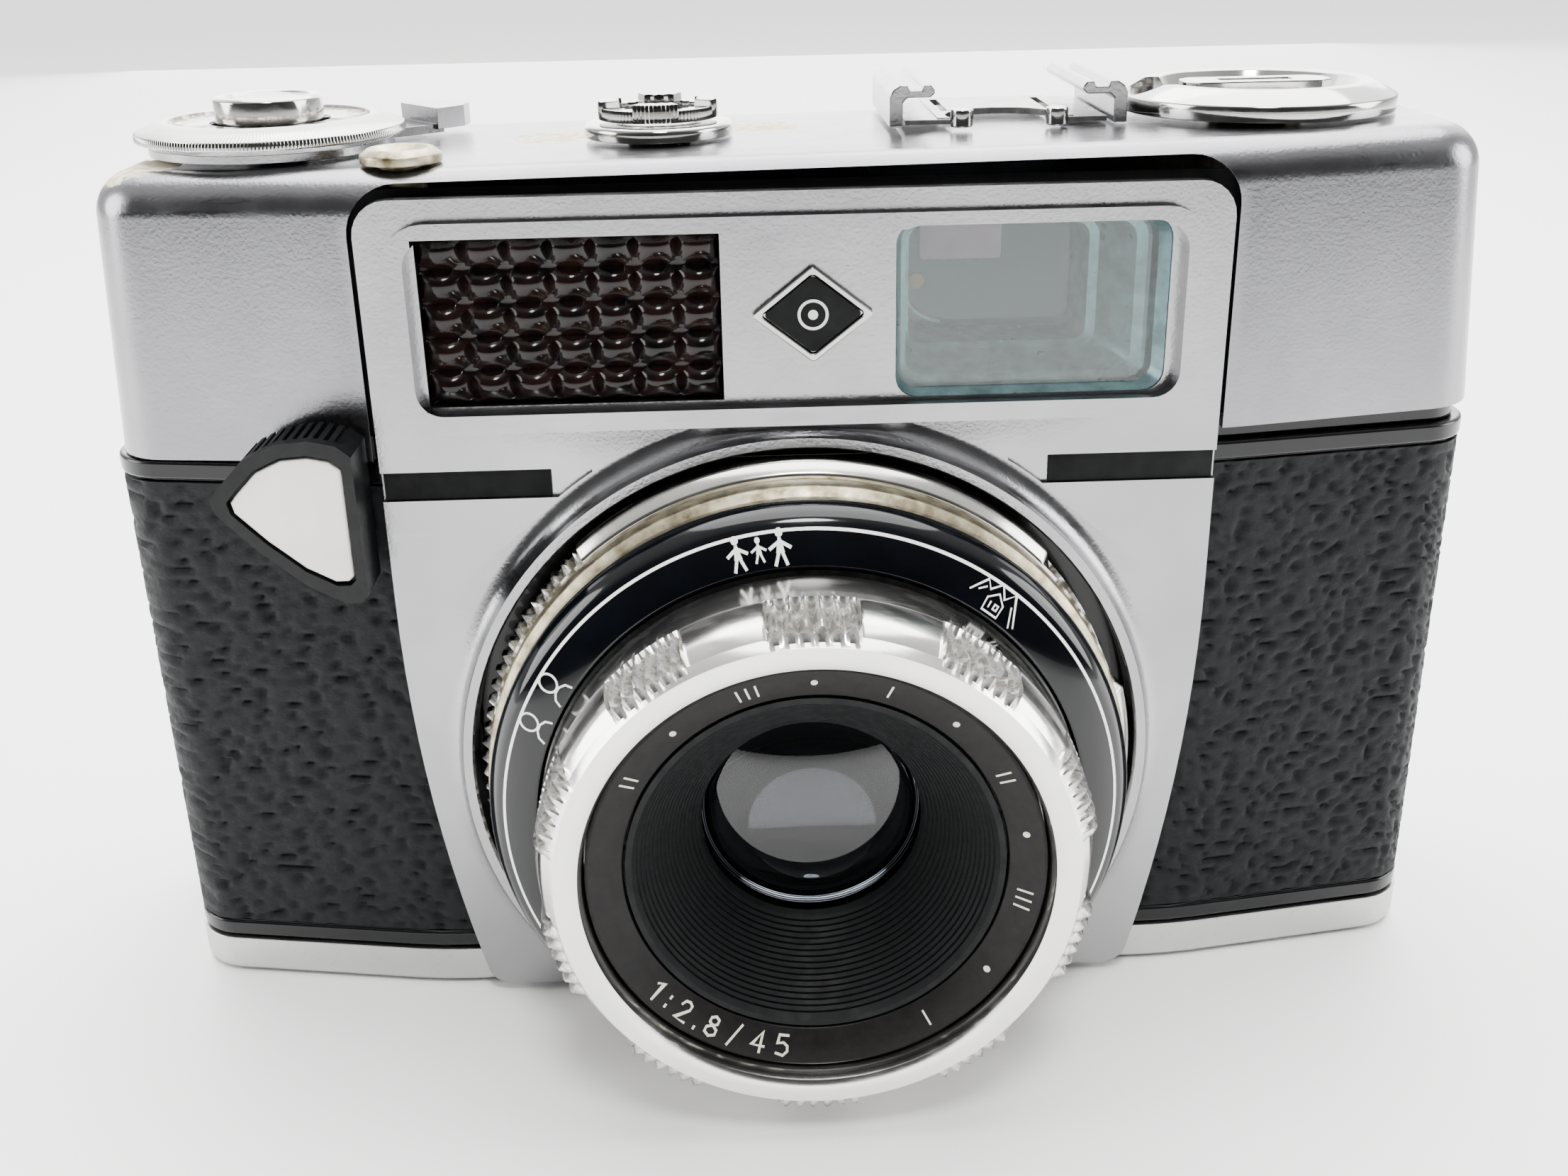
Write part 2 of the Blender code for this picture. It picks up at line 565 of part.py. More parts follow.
def build_trim():
    """Window frame, apron and lens collar, pressed from one sheet."""
    back = TRIM_FACE + TRIM_THICK
    trim = piece("front_trim", prism(trim_outline(), TRIM_FACE, back, "Y"), "satin_chrome")
    half = TRIM_HALF - RIM_INSET
    outside = rounded_box((-half, half), (RIM_LOW, RIM_TOP), 2.5)
    inside = rounded_box((-half + RIM_WIDTH, half - RIM_WIDTH), (WINDOW_LOW, RIM_TOP - RIM_WIDTH), 1.5)
    rim = loft([[(x, y, z) for x, z in outside] for y in (TRIM_FACE + 0.6, TRIM_FACE - RIM_PROUD)])
    hollow = loft([[(x, y, z) for x, z in inside] for y in (TRIM_FACE + 0.5, TRIM_FACE - RIM_PROUD - 1.0)])
    join(trim, rim)
    cut(trim, hollow)
    collar = [
        (COLLAR_BORE - 1.0, TRIM_FACE + 0.7), (COLLAR_R + 0.6, TRIM_FACE + 0.7), (COLLAR_R, TRIM_FACE),
        (COLLAR_BORE + 1.2, TRIM_FACE - COLLAR_RISE + 0.1), (COLLAR_BORE + 0.5, TRIM_FACE - COLLAR_RISE),
        (COLLAR_BORE - 1.0, TRIM_FACE - COLLAR_RISE),
    ]
    groove_z = COVER_FOOT - 1.0
    side_cut = [(-TRIM_HALF - 3.0, -TRIM_HALF + 12.5), (TRIM_HALF - 12.5, TRIM_HALF + 3.0)]
    for span in side_cut:
        cut(trim, block(span, (TRIM_FACE - 2.0, TRIM_FACE + GROOVE_DEPTH), (groove_z - GROOVE_HEIGHT, groove_z)))
    join(trim, lens(collar, BIG_STEPS))
    cut(trim, lens_ring(0.0, COLLAR_BORE, TRIM_FACE - 5.0, back + 1.0, BIG_STEPS))
    cut(trim, block((-50.0, 50.0), (TRIM_FACE - 5.0, back + 3.0), (-20.0, TRIM_FOOT + 0.1)))
    for span in (METER_WINDOW, FINDER_WINDOW):
        opening = rounded_box(span, (WINDOW_LOW + 0.4, WINDOW_TOP - 0.4), 0.8)
        cut(trim, prism(opening, TRIM_FACE - 3.0, back + 1.0, "Y"))
    x, z = BADGE_CENTRE
    across, up = BADGE_HALF
    diamond = [(x - across, z), (x, z - up), (x + across, z), (x, z + up)]
    piece("badge", prism(diamond, TRIM_FACE + 0.5 - GAP - 0.5, TRIM_FACE + 0.5 - GAP, "Y"), "black_lacquer")


def build_meter():
    """Honeycomb window, selenium cell, and the movement with its needle."""
    x, z = METER_WINDOW, (WINDOW_LOW, WINDOW_TOP)
    back = TRIM_FACE + TRIM_THICK
    piece("meter_window", block(grown(x, 1.0), (back + GAP, back + 1.7), grown(z, 1.0)), "meter_lens")
    cell = block(grown(x, 0.6), (back + 2.1, back + 3.6), grown(z, 0.6))
    piece("selenium_cell", cell, "selenium")
    mx, my = METER_MOVEMENT
    low = DECK + GAP
    body = ring(1.2, 6.0, low + 1.0, low + 9.0, (mx, my), "Z", SMALL_STEPS)
    movement = piece("meter_movement", body, "aluminium")
    join(movement, disc(6.6, low, low + 1.4, (mx, my), "Z", SMALL_STEPS))
    arm = piece("meter_needle", disc(0.8, low + 2.0, low + 10.2, (mx, my), "Z", 12), "aluminium", (mx, my, low))
    join(arm, block((mx - 0.4, mx + 0.4), (my - 9.0, my + 3.0), (low + 9.4, low + 10.0)))


def build_finder():
    """Front window, tapered mask, front lens, tunnel, eye lens and eyepiece."""
    back = TRIM_FACE + TRIM_THICK
    x, z = FINDER_WINDOW, (WINDOW_LOW, WINDOW_TOP)
    piece("finder_window", block(grown(x, 0.8), (back + GAP, back + 1.5), grown(z, 0.8)), "tinted_glass")
    ex, ez = EYEPIECE
    stations = [
        (back + 1.8, x, z),
        (back + 8.5, (ex - 7.0, ex + 7.0), (ez - 5.2, ez + 5.2)),
        (BACK - 5.4, (ex - 6.0, ex + 6.0), (ez - 4.6, ez + 4.6)),
    ]
    outer = [[(a, y, b) for a, b in corners(grown(xs, 0.9), grown(zs, 0.9))] for y, xs, zs in stations]
    inner = [[(a, y, b) for a, b in corners(xs, zs)] for y, xs, zs in stations]
    inner[0] = [(a, y - 1.0, b) for a, y, b in inner[0]]
    inner[-1] = [(a, y + 1.0, b) for a, y, b in inner[-1]]
    mask = piece("finder_tunnel", loft(outer), "matt_black")
    cut(mask, loft(inner))
    y = back + 9.2
    piece("finder_front_lens", block((ex - 6.4, ex + 6.4), (y, y + 1.6), (ez - 4.6, ez + 4.6)), "glass")
    eye = block((ex - 4.6, ex + 4.6), (BACK - 3.6, BACK - 2.2), (ez - 3.1, ez + 3.1))
    piece("finder_eye_lens", eye, "glass")
    stem = block((ex - 5.0, ex + 5.0), (BACK - 5.0, BACK + 2.2), (ez - 3.5, ez + 3.5))
    frame = piece("eyepiece_frame", stem, "black_plastic")
    join(frame, block((ex - 7.0, ex + 7.0), (BACK + 1.0, BACK + 2.6), (ez - 5.2, ez + 5.2)))
    cut(frame, block((ex - 3.6, ex + 3.6), (BACK - 8.0, BACK + 5.0), (ez - 2.4, ez + 2.4)))
    cut(frame, block((ex - 4.8, ex + 4.8), (BACK - 8.0, BACK - 1.9), (ez - 3.3, ez + 3.3)))


def corners(x, z):
    return [(x[0], z[0]), (x[1], z[0]), (x[1], z[1]), (x[0], z[1])]


def build_shutter():
    """The shutter's barrel, its blades, and the rear cell with the inner glass."""
    front, rear = SYMBOL_FACE + 1.0, FRONT + 7.6
    blade_y = FRONT - 2.6
    housing = [
        (12.3, front), (BARREL_R, front), (BARREL_R, FRONT - 0.5), (REAR_BARREL_R, FRONT - 0.5),
        (REAR_BARREL_R, rear), (10.6, rear), (10.6, blade_y + 1.3), (20.0, blade_y + 1.3), (20.0, blade_y),
        (12.3, blade_y),
    ]
    piece("shutter_housing", lens(housing), "aluminium")
    for number, side in enumerate((-1, 1)):
        pivot = (side * 16.5, blade_y, LENS_Z)
        y = blade_y + 0.25 + 0.5 * number
        reach = [(side * -12.0 * math.cos(a), 12.0 * math.sin(a)) for a in BLADE_FAN]
        outline = [(side * 18.2, -1.4)] + reach + [(side * 18.2, 1.4)]
        outline = [(x, LENS_Z + z) for x, z in outline]
        blade = prism(outline, y, y + 0.3, "Y")
        piece(f"shutter_blade_{'left' if side < 0 else 'right'}", blade, "steel", pivot)
    rear_cell = [
        (6.6, rear - 9.0), (10.3, rear - 9.0), (10.3, rear + 0.8), (11.6, rear + 0.8), (11.6, rear + 2.2),
        (7.6, rear + 2.2), (7.6, rear - 6.4), (6.6, rear - 6.4),
    ]
    piece("rear_cell", lens(rear_cell, 24), "matt_black")
    middle = [(0.0, rear - 8.6), (4.0, rear - 8.3), (6.3, rear - 7.6), (6.3, rear - 7.0), (0.0, rear - 6.6)]
    piece("middle_element", lens(middle, 24), "glass")
    last = [(0.0, rear - 3.4), (7.3, rear - 2.6), (7.3, rear - 1.0), (4.0, rear + 0.2), (0.0, rear + 0.6)]
    piece("rear_element", lens(last, 24), "glass")


def build_lens():
    """The rings in front of the shutter, from the setting ring out to the front glass."""
    pivot = (0.0, SETTING_BACK, LENS_Z)
    inner = BARREL_R + GAP
    setting_front = SETTING_BACK - SETTING_LENGTH
    profile = [
        (inner, SETTING_BACK), (SETTING_R - 0.6, SETTING_BACK), (SETTING_R - 0.6, SETTING_BACK - 1.0),
        (SETTING_R, SETTING_BACK - 1.0), (SETTING_R, setting_front + 0.5), (SETTING_R - 0.5, setting_front),
        (inner, setting_front),
    ]
    setting = piece("setting_ring", lens(profile, BIG_STEPS), "bright_chrome", pivot)
    angle, reach = math.radians(SETTING_OPEN), 2.0 * SETTING_R
    wedge = [(0.0, LENS_Z)]
    for a in (-angle, -angle / 2, angle / 2, angle):
        wedge.append((reach * math.sin(a), LENS_Z - reach * math.cos(a)))
    cut(setting, prism(wedge, SETTING_BACK + 1.0, setting_front - 1.0, "Y"))
    brass = piece("brass_ring", lens_ring(inner, BRASS_R, BRASS_BACK - BRASS_LENGTH, BRASS_BACK, BIG_STEPS), "brass")
    cut(brass, below_flat())
    edge = SYMBOL_R - 0.6
    profile = [
        (inner, SYMBOL_BACK), (SYMBOL_R, SYMBOL_BACK), (SYMBOL_R, SYMBOL_FACE + 1.4), (edge, SYMBOL_FACE + 0.4),
        (edge - 0.4, SYMBOL_FACE), (SYMBOL_MOUTH, SYMBOL_FACE - SYMBOL_SLOPE),
        (SYMBOL_MOUTH - 0.6, SYMBOL_FACE - SYMBOL_SLOPE), (SYMBOL_MOUTH - 0.6, SYMBOL_FACE + 0.6), (inner, SYMBOL_FACE + 0.6),
    ]
    symbols = piece("symbol_ring", lens(profile, BIG_STEPS), "black_lacquer")
    cut(symbols, below_flat())
    pivot = (0.0, FOCUS_BACK, LENS_Z)
    seat = NAME_R + GAP
    profile = [
        (14.5, FOCUS_BACK), (FOCUS_R, FOCUS_BACK), (FOCUS_R, FOCUS_FRONT + FOCUS_BEVEL),
        (FOCUS_R - FOCUS_BEVEL, FOCUS_FRONT), (seat + 0.2, FOCUS_FRONT + 0.2), (seat, CONE_FRONT + 1.2 + GAP),
        (17.2, CONE_FRONT + 1.2 + GAP), (17.2, FOCUS_BACK - 2.0), (14.5, FOCUS_BACK - 2.0),
    ]
    piece("focus_ring", lens(profile, BIG_STEPS), "aluminium", pivot)
    mouth = NAME_MOUTH + GAP / 2
    profile = [
        (mouth, CONE_FRONT), (NAME_R, NAME_FRONT), (NAME_R, NAME_FRONT + 1.2), (mouth, CONE_FRONT + 1.2),
    ]
    piece("name_ring", lens(profile, BIG_STEPS), "black_paint", pivot)
    lip = NAME_MOUTH - GAP / 2
    profile = [
        (GLASS_R, GLASS_FRONT), (lip - 0.5, CONE_FRONT), (lip, CONE_FRONT), (lip, CONE_FRONT + 1.4),
        (14.2, CONE_FRONT + 2.4), (14.2, FOCUS_BACK + 1.2), (11.9, FOCUS_BACK + 1.2), (11.9, GLASS_FRONT + 7.0),
        (10.4, GLASS_FRONT + 7.0), (GLASS_R + 1.2, GLASS_FRONT + 4.2), (GLASS_R + 1.2, GLASS_FRONT + 0.9),
        (GLASS_R, GLASS_FRONT + 0.6),
    ]
    piece("front_cell", lens(profile, BIG_STEPS), "matt_black", pivot)
    rim = GLASS_R + 0.9
    profile = [
        (0.0, GLASS_FRONT - 0.2), (3.0, GLASS_FRONT), (6.0, GLASS_FRONT + 0.5), (8.2, GLASS_FRONT + 1.2),
        (rim, GLASS_FRONT + 1.9), (rim, GLASS_FRONT + 3.4), (0.0, GLASS_FRONT + 3.8),
    ]
    piece("front_element", lens(profile, 24), "glass", pivot)


def below_flat():
    """Everything lower than the flats of the fixed rings."""
    return block((-40.0, 40.0), (FOCUS_FRONT, FRONT + 5.0), (-20.0, RING_FLAT))


def socket_place():
    reach, angle = WIND_R + SOCKET_R + SOCKET_OFF, math.radians(-40.0)
    return WIND_X + reach * math.cos(angle), WIND_BACK + reach * math.sin(angle)


def build_wind():
    """Wind lever with its dial, the counter knob, and the shaft down to the take-up spool."""
    z, place = cover_z(WIND_X), (WIND_X, WIND_BACK)
    pivot = (*place, z)
    shaft_foot = CHAMBER_TOP - 0.6
    hub = [
        (0.0, shaft_foot), (2.6, shaft_foot), (2.6, z + GAP), (WIND_R - 1.0, z + GAP), (WIND_R - 1.0, z + 1.1),
        (0.0, z + 1.1),
    ]
    lever = piece("wind_lever", turned(hub, place, "Z"), "satin_chrome", pivot)
    angle = math.radians(38.0)
    along, across = (math.cos(angle), math.sin(angle)), (-math.sin(angle), math.cos(angle))

    def bar(start, end, low_side, high_side, taper):
        spots = [(start, low_side), (end, low_side + taper), (end, high_side - taper), (start, high_side)]
        return [
            (WIND_X + a * along[0] + b * across[0], WIND_BACK + a * along[1] + b * across[1]) for a, b in spots
        ]

    join(lever, prism(bar(WIND_R - 3.0, WIND_R + 3.0, -3.4, 3.4, 0.2), z + 0.4, z + 1.2))
    join(lever, prism(bar(WIND_R + GAP + 0.3, LEVER_LENGTH, -3.6, 3.6, 1.2), z + 0.7, z + LEVER_TOP))
    profile = [
        (COUNTER_R + 0.5, z + 1.5), (WIND_R, z + 1.5), (WIND_R, z + 1.5 + WIND_WALL - 0.6), (WIND_R - 2.6, z + WIND_TOP),
        (WIND_R - 3.0, z + WIND_TOP), (WIND_R - 3.0, z + WIND_TOP - 0.4), (COUNTER_R + 0.5, z + WIND_TOP - 0.4),
    ]
    piece("wind_dial", turned(profile, place, "Z"), "bright_chrome", pivot)
    top = z + WIND_TOP + COUNTER_HEIGHT
    profile = [
        (0.0, z + 1.5), (COUNTER_R, z + 1.5), (COUNTER_R, top - 0.2), (COUNTER_R - 0.4, top),
        (COUNTER_R - 1.2, top), (COUNTER_R - 1.2, top - 0.3), (0.0, top - 0.3),
    ]
    piece("counter_knob", turned(profile, place, "Z", 24), "bright_chrome", pivot)
    spool_top, floor = shaft_foot - GAP, CHAMBER_FLOOR + GAP
    profile = [
        (0.0, floor), (SPOOL_FLANGE_R, floor), (SPOOL_FLANGE_R, floor + 1.2), (SPOOL_R, floor + 1.2),
        (SPOOL_R, spool_top - 1.2), (SPOOL_FLANGE_R, spool_top - 1.2), (SPOOL_FLANGE_R, spool_top), (0.0, spool_top),
    ]
    spool = piece("takeup_spool", turned(profile, place, "Z", 24), "black_plastic", (*place, floor))
    slot = block((WIND_X - 0.5, WIND_X + 0.5), (WIND_BACK, WIND_BACK + 8.0), (floor + 8.0, spool_top - 8.0))
    cut(spool, slot)
    place = (SPROCKET_X, FILM_Y - SPROCKET_R - 0.3)
    shaft = disc(2.0, floor, DECK - 2.0, place, "Z", SMALL_STEPS)
    sprocket = piece("sprocket", shaft, "steel", (*place, floor))
    for middle in (LENS_Z - 14.2, LENS_Z + 14.2):
        join(sprocket, prism(toothed(place, SPROCKET_R, SPROCKET_R + 1.1, 8), middle - 0.9, middle + 0.9))


def toothed(centre, root, tip, count):
    """A wheel from above, with square teeth that fill a third of the pitch."""
    pitch = 360.0 / count
    outline = []
    for tooth in range(count):
        for radius, start, end in ((tip, -0.15, 0.15), (root, 0.22, 0.78)):
            outline += arc(*centre, radius, (tooth + start) * pitch, (tooth + end) * pitch, 3)
    return outline


def build_rewind():
    """Rewind knob with its folding crank, and the sleeve and fork that lift with it."""
    z, place = cover_z(REWIND_X), (REWIND_X, REWIND_BACK)
    pivot = (*place, z)
    piece("rewind_sleeve", ring(2.7, 4.2, CHAMBER_TOP + 6.0, z + 0.9, place, "Z", SMALL_STEPS), "brass", pivot)
    foot, top, rim = z + 0.4, z + REWIND_TOP, REWIND_R
    floor_z = top - REWIND_RECESS
    profile = [
        (4.5, foot), (rim, foot), (rim, foot + REWIND_WALL), (rim - 2.2, top), (rim - 3.6, top),
        (rim - 4.2, floor_z), (0.0, floor_z), (0.0, z + 1.3), (4.5, z + 1.3),
    ]
    knob = piece("rewind_knob", turned(profile, place, "Z"), "bright_chrome", pivot)
    # A notch through the rim lets a finger under the end of the crank.
    x, y = place
    cut(knob, block((x - rim - 1.0, x - rim + 5.0), (y - 3.2, y + 3.2), (floor_z + 0.1, top + 1.0)))
    shaft = disc(2.3, CHAMBER_TOP - 2.0, z + 1.0, place, "Z", SMALL_STEPS)
    fork = piece("rewind_fork", shaft, "steel", pivot)
    join(fork, block((x - 2.2, x + 2.2), (y - 0.6, y + 0.6), (CHAMBER_TOP - 7.5, CHAMBER_TOP - 1.0)))
    hinge_x = x + rim - 6.4
    crank_pivot = (hinge_x, y, floor_z + 0.9)
    arm = prism(rounded_box((x - rim + 5.4, hinge_x + 0.6), (y - 2.4, y + 2.4), 1.2), floor_z + GAP, floor_z + 1.2)
    piece("rewind_crank", arm, "bright_chrome", crank_pivot)


def build_reminder():
    """The flanged film reminder in the middle of the cover, with its castellated ring."""
    z, place = cover_z(REMINDER_X), (REMINDER_X, REMINDER_BACK)
    pivot = (*place, z)
    flange = [
        (1.6, z - 1.6), (1.6, z + 1.5), (REMINDER_R - 0.2, z + 1.5), (REMINDER_R, z + 1.3), (REMINDER_R, z + 0.2),
        (2.8, z + 0.2), (2.8, z - 1.6),
    ]
    piece("reminder_flange", turned(flange, place, "Z"), "satin_chrome")
    wall = ring(3.9, 5.3, z + 1.8, z + 3.4, place, "Z")
    crown = piece("reminder_dial", wall, "bright_chrome", pivot)
    for i in range(4):
        a = math.radians(45.0 + 90.0 * i)
        spot = (place[0] + 5.2 * math.cos(a), place[1] + 5.2 * math.sin(a))
        cut(crown, disc(1.5, z + 2.6, z + 5.0, spot, "Z", 12))
    x, y = socket_place()
    z = cover_z(x)
    profile = [
        (1.1, z - 3.0), (2.0, z - 3.0), (2.0, z + 0.2), (SOCKET_R, z + 0.2), (SOCKET_R, z + 0.9),
        (SOCKET_R - 0.7, z + 1.4), (2.2, z + 1.4), (1.1, z + 0.5),
    ]
    piece("release_socket", turned(profile, (x, y), "Z", SMALL_STEPS), "brass")


def build_shoe():
    """Accessory shoe: two rails on a spring leaf, with two stop pins in front."""
    z = cover_z(SHOE_X)
    low, slot_top = z + GAP, z + GAP + 0.6 + SHOE_SLOT_HEIGHT
    top = slot_top + SHOE_LIP
    half, gap = SHOE_SLOT / 2, SHOE_GAP / 2
    outer, back = half + SHOE_WALL, SHOE_FRONT + SHOE_LENGTH
    for name, side in (("left", -1), ("right", 1)):
        groove = gap + 1.2, half + 0.5
        outline = [
            (half, low), (outer, low), (outer, top - 0.9), (outer - 0.9, top), (groove[1], top), (groove[1], top - 0.45),
            (groove[0], top - 0.45), (groove[0], top), (gap + 0.4, top), (gap, top - 0.5), (gap, slot_top + 0.4),
            (gap + 0.4, slot_top), (half, slot_top),
        ]
        outline = [(SHOE_X + side * x, h) for x, h in outline]
        piece(f"shoe_rail_{name}", prism(outline, SHOE_FRONT, back, "Y"), "satin_chrome")
        pin = (SHOE_X + side * STOP_PIN_OFF, SHOE_FRONT - 0.4)
        piece(f"shoe_stop_{name}", disc(STOP_PIN_R, z + GAP, z + 1.9, pin, "Z", 16), "steel")
    leaf = block((SHOE_X - half + GAP, SHOE_X + half - GAP), (SHOE_FRONT + 1.6, back), (low, low + 0.45))
    spring = piece("shoe_spring", leaf, "steel")
    # The leaf bows up a little between the rails, where it presses on the foot.
    join(spring, block((SHOE_X - gap + GAP, SHOE_X + gap - GAP), (SHOE_FRONT + 1.3, back - 0.4), (low + 0.2, low + 0.6)))
    cut(spring, disc(5.2, low - 1.0, low + 2.0, (SHOE_X, SHOE_FRONT + 3.2), "Z", SMALL_STEPS))


def build_release():
    """The release: a ribbed wedge with a pale face, on a stem that slides in the body's front."""
    right, tip = -TRIM_HALF - 1.1, -TRIM_HALF - 13.2
    crown, middle, foot = LEATHER_TOP + 6.4, LEATHER_TOP + 1.8, LEATHER_TOP - 8.0
    outline = [
        (right, foot + 0.6), (right, crown - 1.4), (right - 1.2, crown - 0.6), (right - 3.4, crown + 0.1),
        (right - 6.2, crown - 0.1), (right - 9.0, crown - 1.4), (tip + 0.8, middle + 0.9), (tip, middle),
        (tip + 0.3, middle - 1.1), (tip + 3.6, foot + 5.0), (right - 5.0, foot + 1.8), (right - 2.0, foot),
        (right - 0.6, foot),
    ]
    outline = outline[::-1]
    back = FRONT - COVER_PROUD - 0.6
    front = back - RELEASE_THICK
    lever = piece("release_lever", prism(outline, front, back, "Y"), "black_plastic")
    centre = (right - 4.6, (crown + foot) / 2 + 0.6)
    inset = [(centre[0] + (x - centre[0]) * 0.82, centre[1] + (z - centre[1]) * 0.80) for x, z in outline]
    cut(lever, prism(inset, front - 1.0, front + 0.9, "Y"))
    shrunk = [(centre[0] + (x - centre[0]) * 0.76, centre[1] + (z - centre[1]) * 0.75) for x, z in outline]
    piece("release_insert", prism(shrunk, front + 0.1, front + 0.9 - GAP, "Y"), "white_plastic")
    low, top = STEM_Z
    join(lever, block(STEM_X, (back - 1.0, FRONT + 3.0), (low, top)))


def build_gate():
    """The film gate: a polished frame with raised rails."""
    half_x, half_z = GATE_HALF
    back = FILM_Y - 0.3
    left, right = SPROCKET_X + SPROCKET_R + 1.9, BODY_HALF - END_WALL - CHAMBER_WIDTH - 1.0
    plate = block((left, right), (back - GATE_THICK, back - 0.4), (LENS_Z - 19.5, LENS_Z + 19.5))
    frame = piece("film_gate", plate, "steel")
    for side in (-1, 1):
        z = sorted((LENS_Z + side * (half_z + 0.6), LENS_Z + side * (half_z + 2.2)))
        join(frame, block((left, right), (back - 0.7, back), z))
    cut(frame, block((-half_x, half_x), (back - 5.0, back + 5.0), (LENS_Z - half_z, LENS_Z + half_z)))


def build_door():
    """The hinged back: shell, leather, pressure plate on its spring, hinge pin and sliding latch."""
    low, top = BASE_HEIGHT + GAP + 0.3 + GAP, LEATHER_TOP + HIGH_BORDER - GAP
    pivot = (HINGE_X, HINGE_Y, low)
    half, start = BODY_HALF - DOOR_INSET, DOOR_SPLIT + 0.4
    outline = door_path(0.0, start)[::-1] + door_path(DOOR_SHEET, start)
    door = piece("back_door", prism(outline, low, top), "black_paint", pivot)
    middle = (CHASSIS_KNUCKLES[0][1] + GAP, CHASSIS_KNUCKLES[1][0] - GAP)
    join(door, prism(knuckle(-half + 0.5, -1), *middle))
    cut(door, disc(PIN_R + 0.15, middle[0] - 1.0, middle[1] + 1.0, (HINGE_X, HINGE_Y), "Z", 12))
    latch_low, latch_high = LATCH_NOTCH[0] + 3.0, LATCH_NOTCH[1] - 6.0
    stem_y = (DOOR_SPLIT + 1.6, DOOR_SPLIT + 3.4)
    cut(door, block((half - 3.0, half + 3.0), grown(stem_y, GAP), (latch_low, latch_high + LATCH_TRAVEL + GAP)))
    flat = BODY_HALF - BACK_CORNER
    leather = block((-flat, flat), (BACK - LEATHER_THICK, BACK), (LEATHER_LOW, LEATHER_TOP - GAP))
    piece("door_leather", leather, "leather", pivot)
    plate_y = (FILM_Y + 0.2, FILM_Y + 1.2)
    piece("pressure_plate", block((-21.5, 29.0), plate_y, (LENS_Z - 16.5, LENS_Z + 16.5)), "black_paint", pivot)
    y = plate_y[1] + GAP
    leaf = [(-16.0, y + 0.8), (-16.0, y + 0.5), (-12.0, y + 0.5), (-6.0, y), (6.0, y), (12.0, y + 0.5), (16.0, y + 0.5)]
    leaf += [(16.0, y + 0.8), (12.0, y + 0.8), (6.0, y + 0.3), (-6.0, y + 0.3), (-12.0, y + 0.8)]
    piece("pressure_spring", prism(leaf[::-1], LENS_Z - 5.0, LENS_Z + 5.0), "steel", pivot)
    z = (CHASSIS_KNUCKLES[0][0] - 0.4, CHASSIS_KNUCKLES[1][1] + 0.4)
    piece("hinge_pin", disc(PIN_R - 0.05, *z, (HINGE_X, HINGE_Y), "Z", 12), "steel")
    pivot = (BODY_HALF, DOOR_SPLIT + 2.5, latch_low)
    face = half + GAP
    thumb = block((face, face + 1.3), (DOOR_SPLIT + 0.8, DOOR_SPLIT + 4.2), (latch_low - 2.0, latch_high + 2.0))
    latch = piece("door_latch", thumb, "satin_chrome", pivot)
    hook = [
        (BODY_HALF - 3.2, DOOR_SPLIT - 2.6), (BODY_HALF - 1.8, DOOR_SPLIT - 2.6), (BODY_HALF - 1.8, stem_y[0]),
        (face + 0.5, stem_y[0]), (face + 0.5, stem_y[1]), (BODY_HALF - 3.2, stem_y[1]),
    ]
    join(latch, prism(hook, latch_low + GAP, latch_high - 3.0))


if __name__ == "__main__":
    clear_scene()
    build_chassis()
    build_base()
    build_cover()
    build_leathers()
    build_trim()
    build_meter()
    build_finder()
    build_shutter()
    build_lens()
    build_wind()
    build_rewind()
    build_reminder()
    build_shoe()
    build_release()
    build_gate()
    build_door()
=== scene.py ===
"""A 35 mm viewfinder camera of the late 1950s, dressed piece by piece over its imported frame.

The last piece is a plain studio round it.
"""

import math

import bmesh
import bpy
from bpy.props import FloatProperty, FloatVectorProperty, IntProperty, PointerProperty
from mathutils import Matrix, Vector, noise


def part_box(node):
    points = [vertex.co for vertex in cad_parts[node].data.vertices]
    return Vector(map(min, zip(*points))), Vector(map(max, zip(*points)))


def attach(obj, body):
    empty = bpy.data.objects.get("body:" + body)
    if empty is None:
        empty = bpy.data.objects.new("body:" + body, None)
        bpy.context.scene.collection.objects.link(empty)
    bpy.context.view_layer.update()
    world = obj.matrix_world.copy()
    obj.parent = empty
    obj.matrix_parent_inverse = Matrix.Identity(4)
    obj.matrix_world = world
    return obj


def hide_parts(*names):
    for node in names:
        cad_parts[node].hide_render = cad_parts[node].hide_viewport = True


bl_info = {
    "name": "Viewfinder Camera",
    "version": (1, 0, 0),
    "blender": (4, 5, 0),
    "location": "View3D > Sidebar > Camera",
    "description": "Makes a 35 mm viewfinder camera, piece by piece, and a studio round it",
    "category": "Add Mesh",
}

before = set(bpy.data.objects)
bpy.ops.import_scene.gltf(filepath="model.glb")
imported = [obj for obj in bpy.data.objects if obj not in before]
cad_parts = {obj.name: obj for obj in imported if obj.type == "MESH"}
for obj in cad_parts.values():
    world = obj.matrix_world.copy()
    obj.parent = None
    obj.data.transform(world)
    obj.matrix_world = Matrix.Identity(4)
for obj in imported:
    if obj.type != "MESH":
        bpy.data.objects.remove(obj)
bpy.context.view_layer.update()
MM = 0.001


def span(node):
    """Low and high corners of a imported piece, in millimetres."""
    low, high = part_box(node)
    return low / MM, high / MM


def middle(node):
    """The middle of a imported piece's box, in millimetres."""
    low, high = span(node)
    return (low + high) / 2


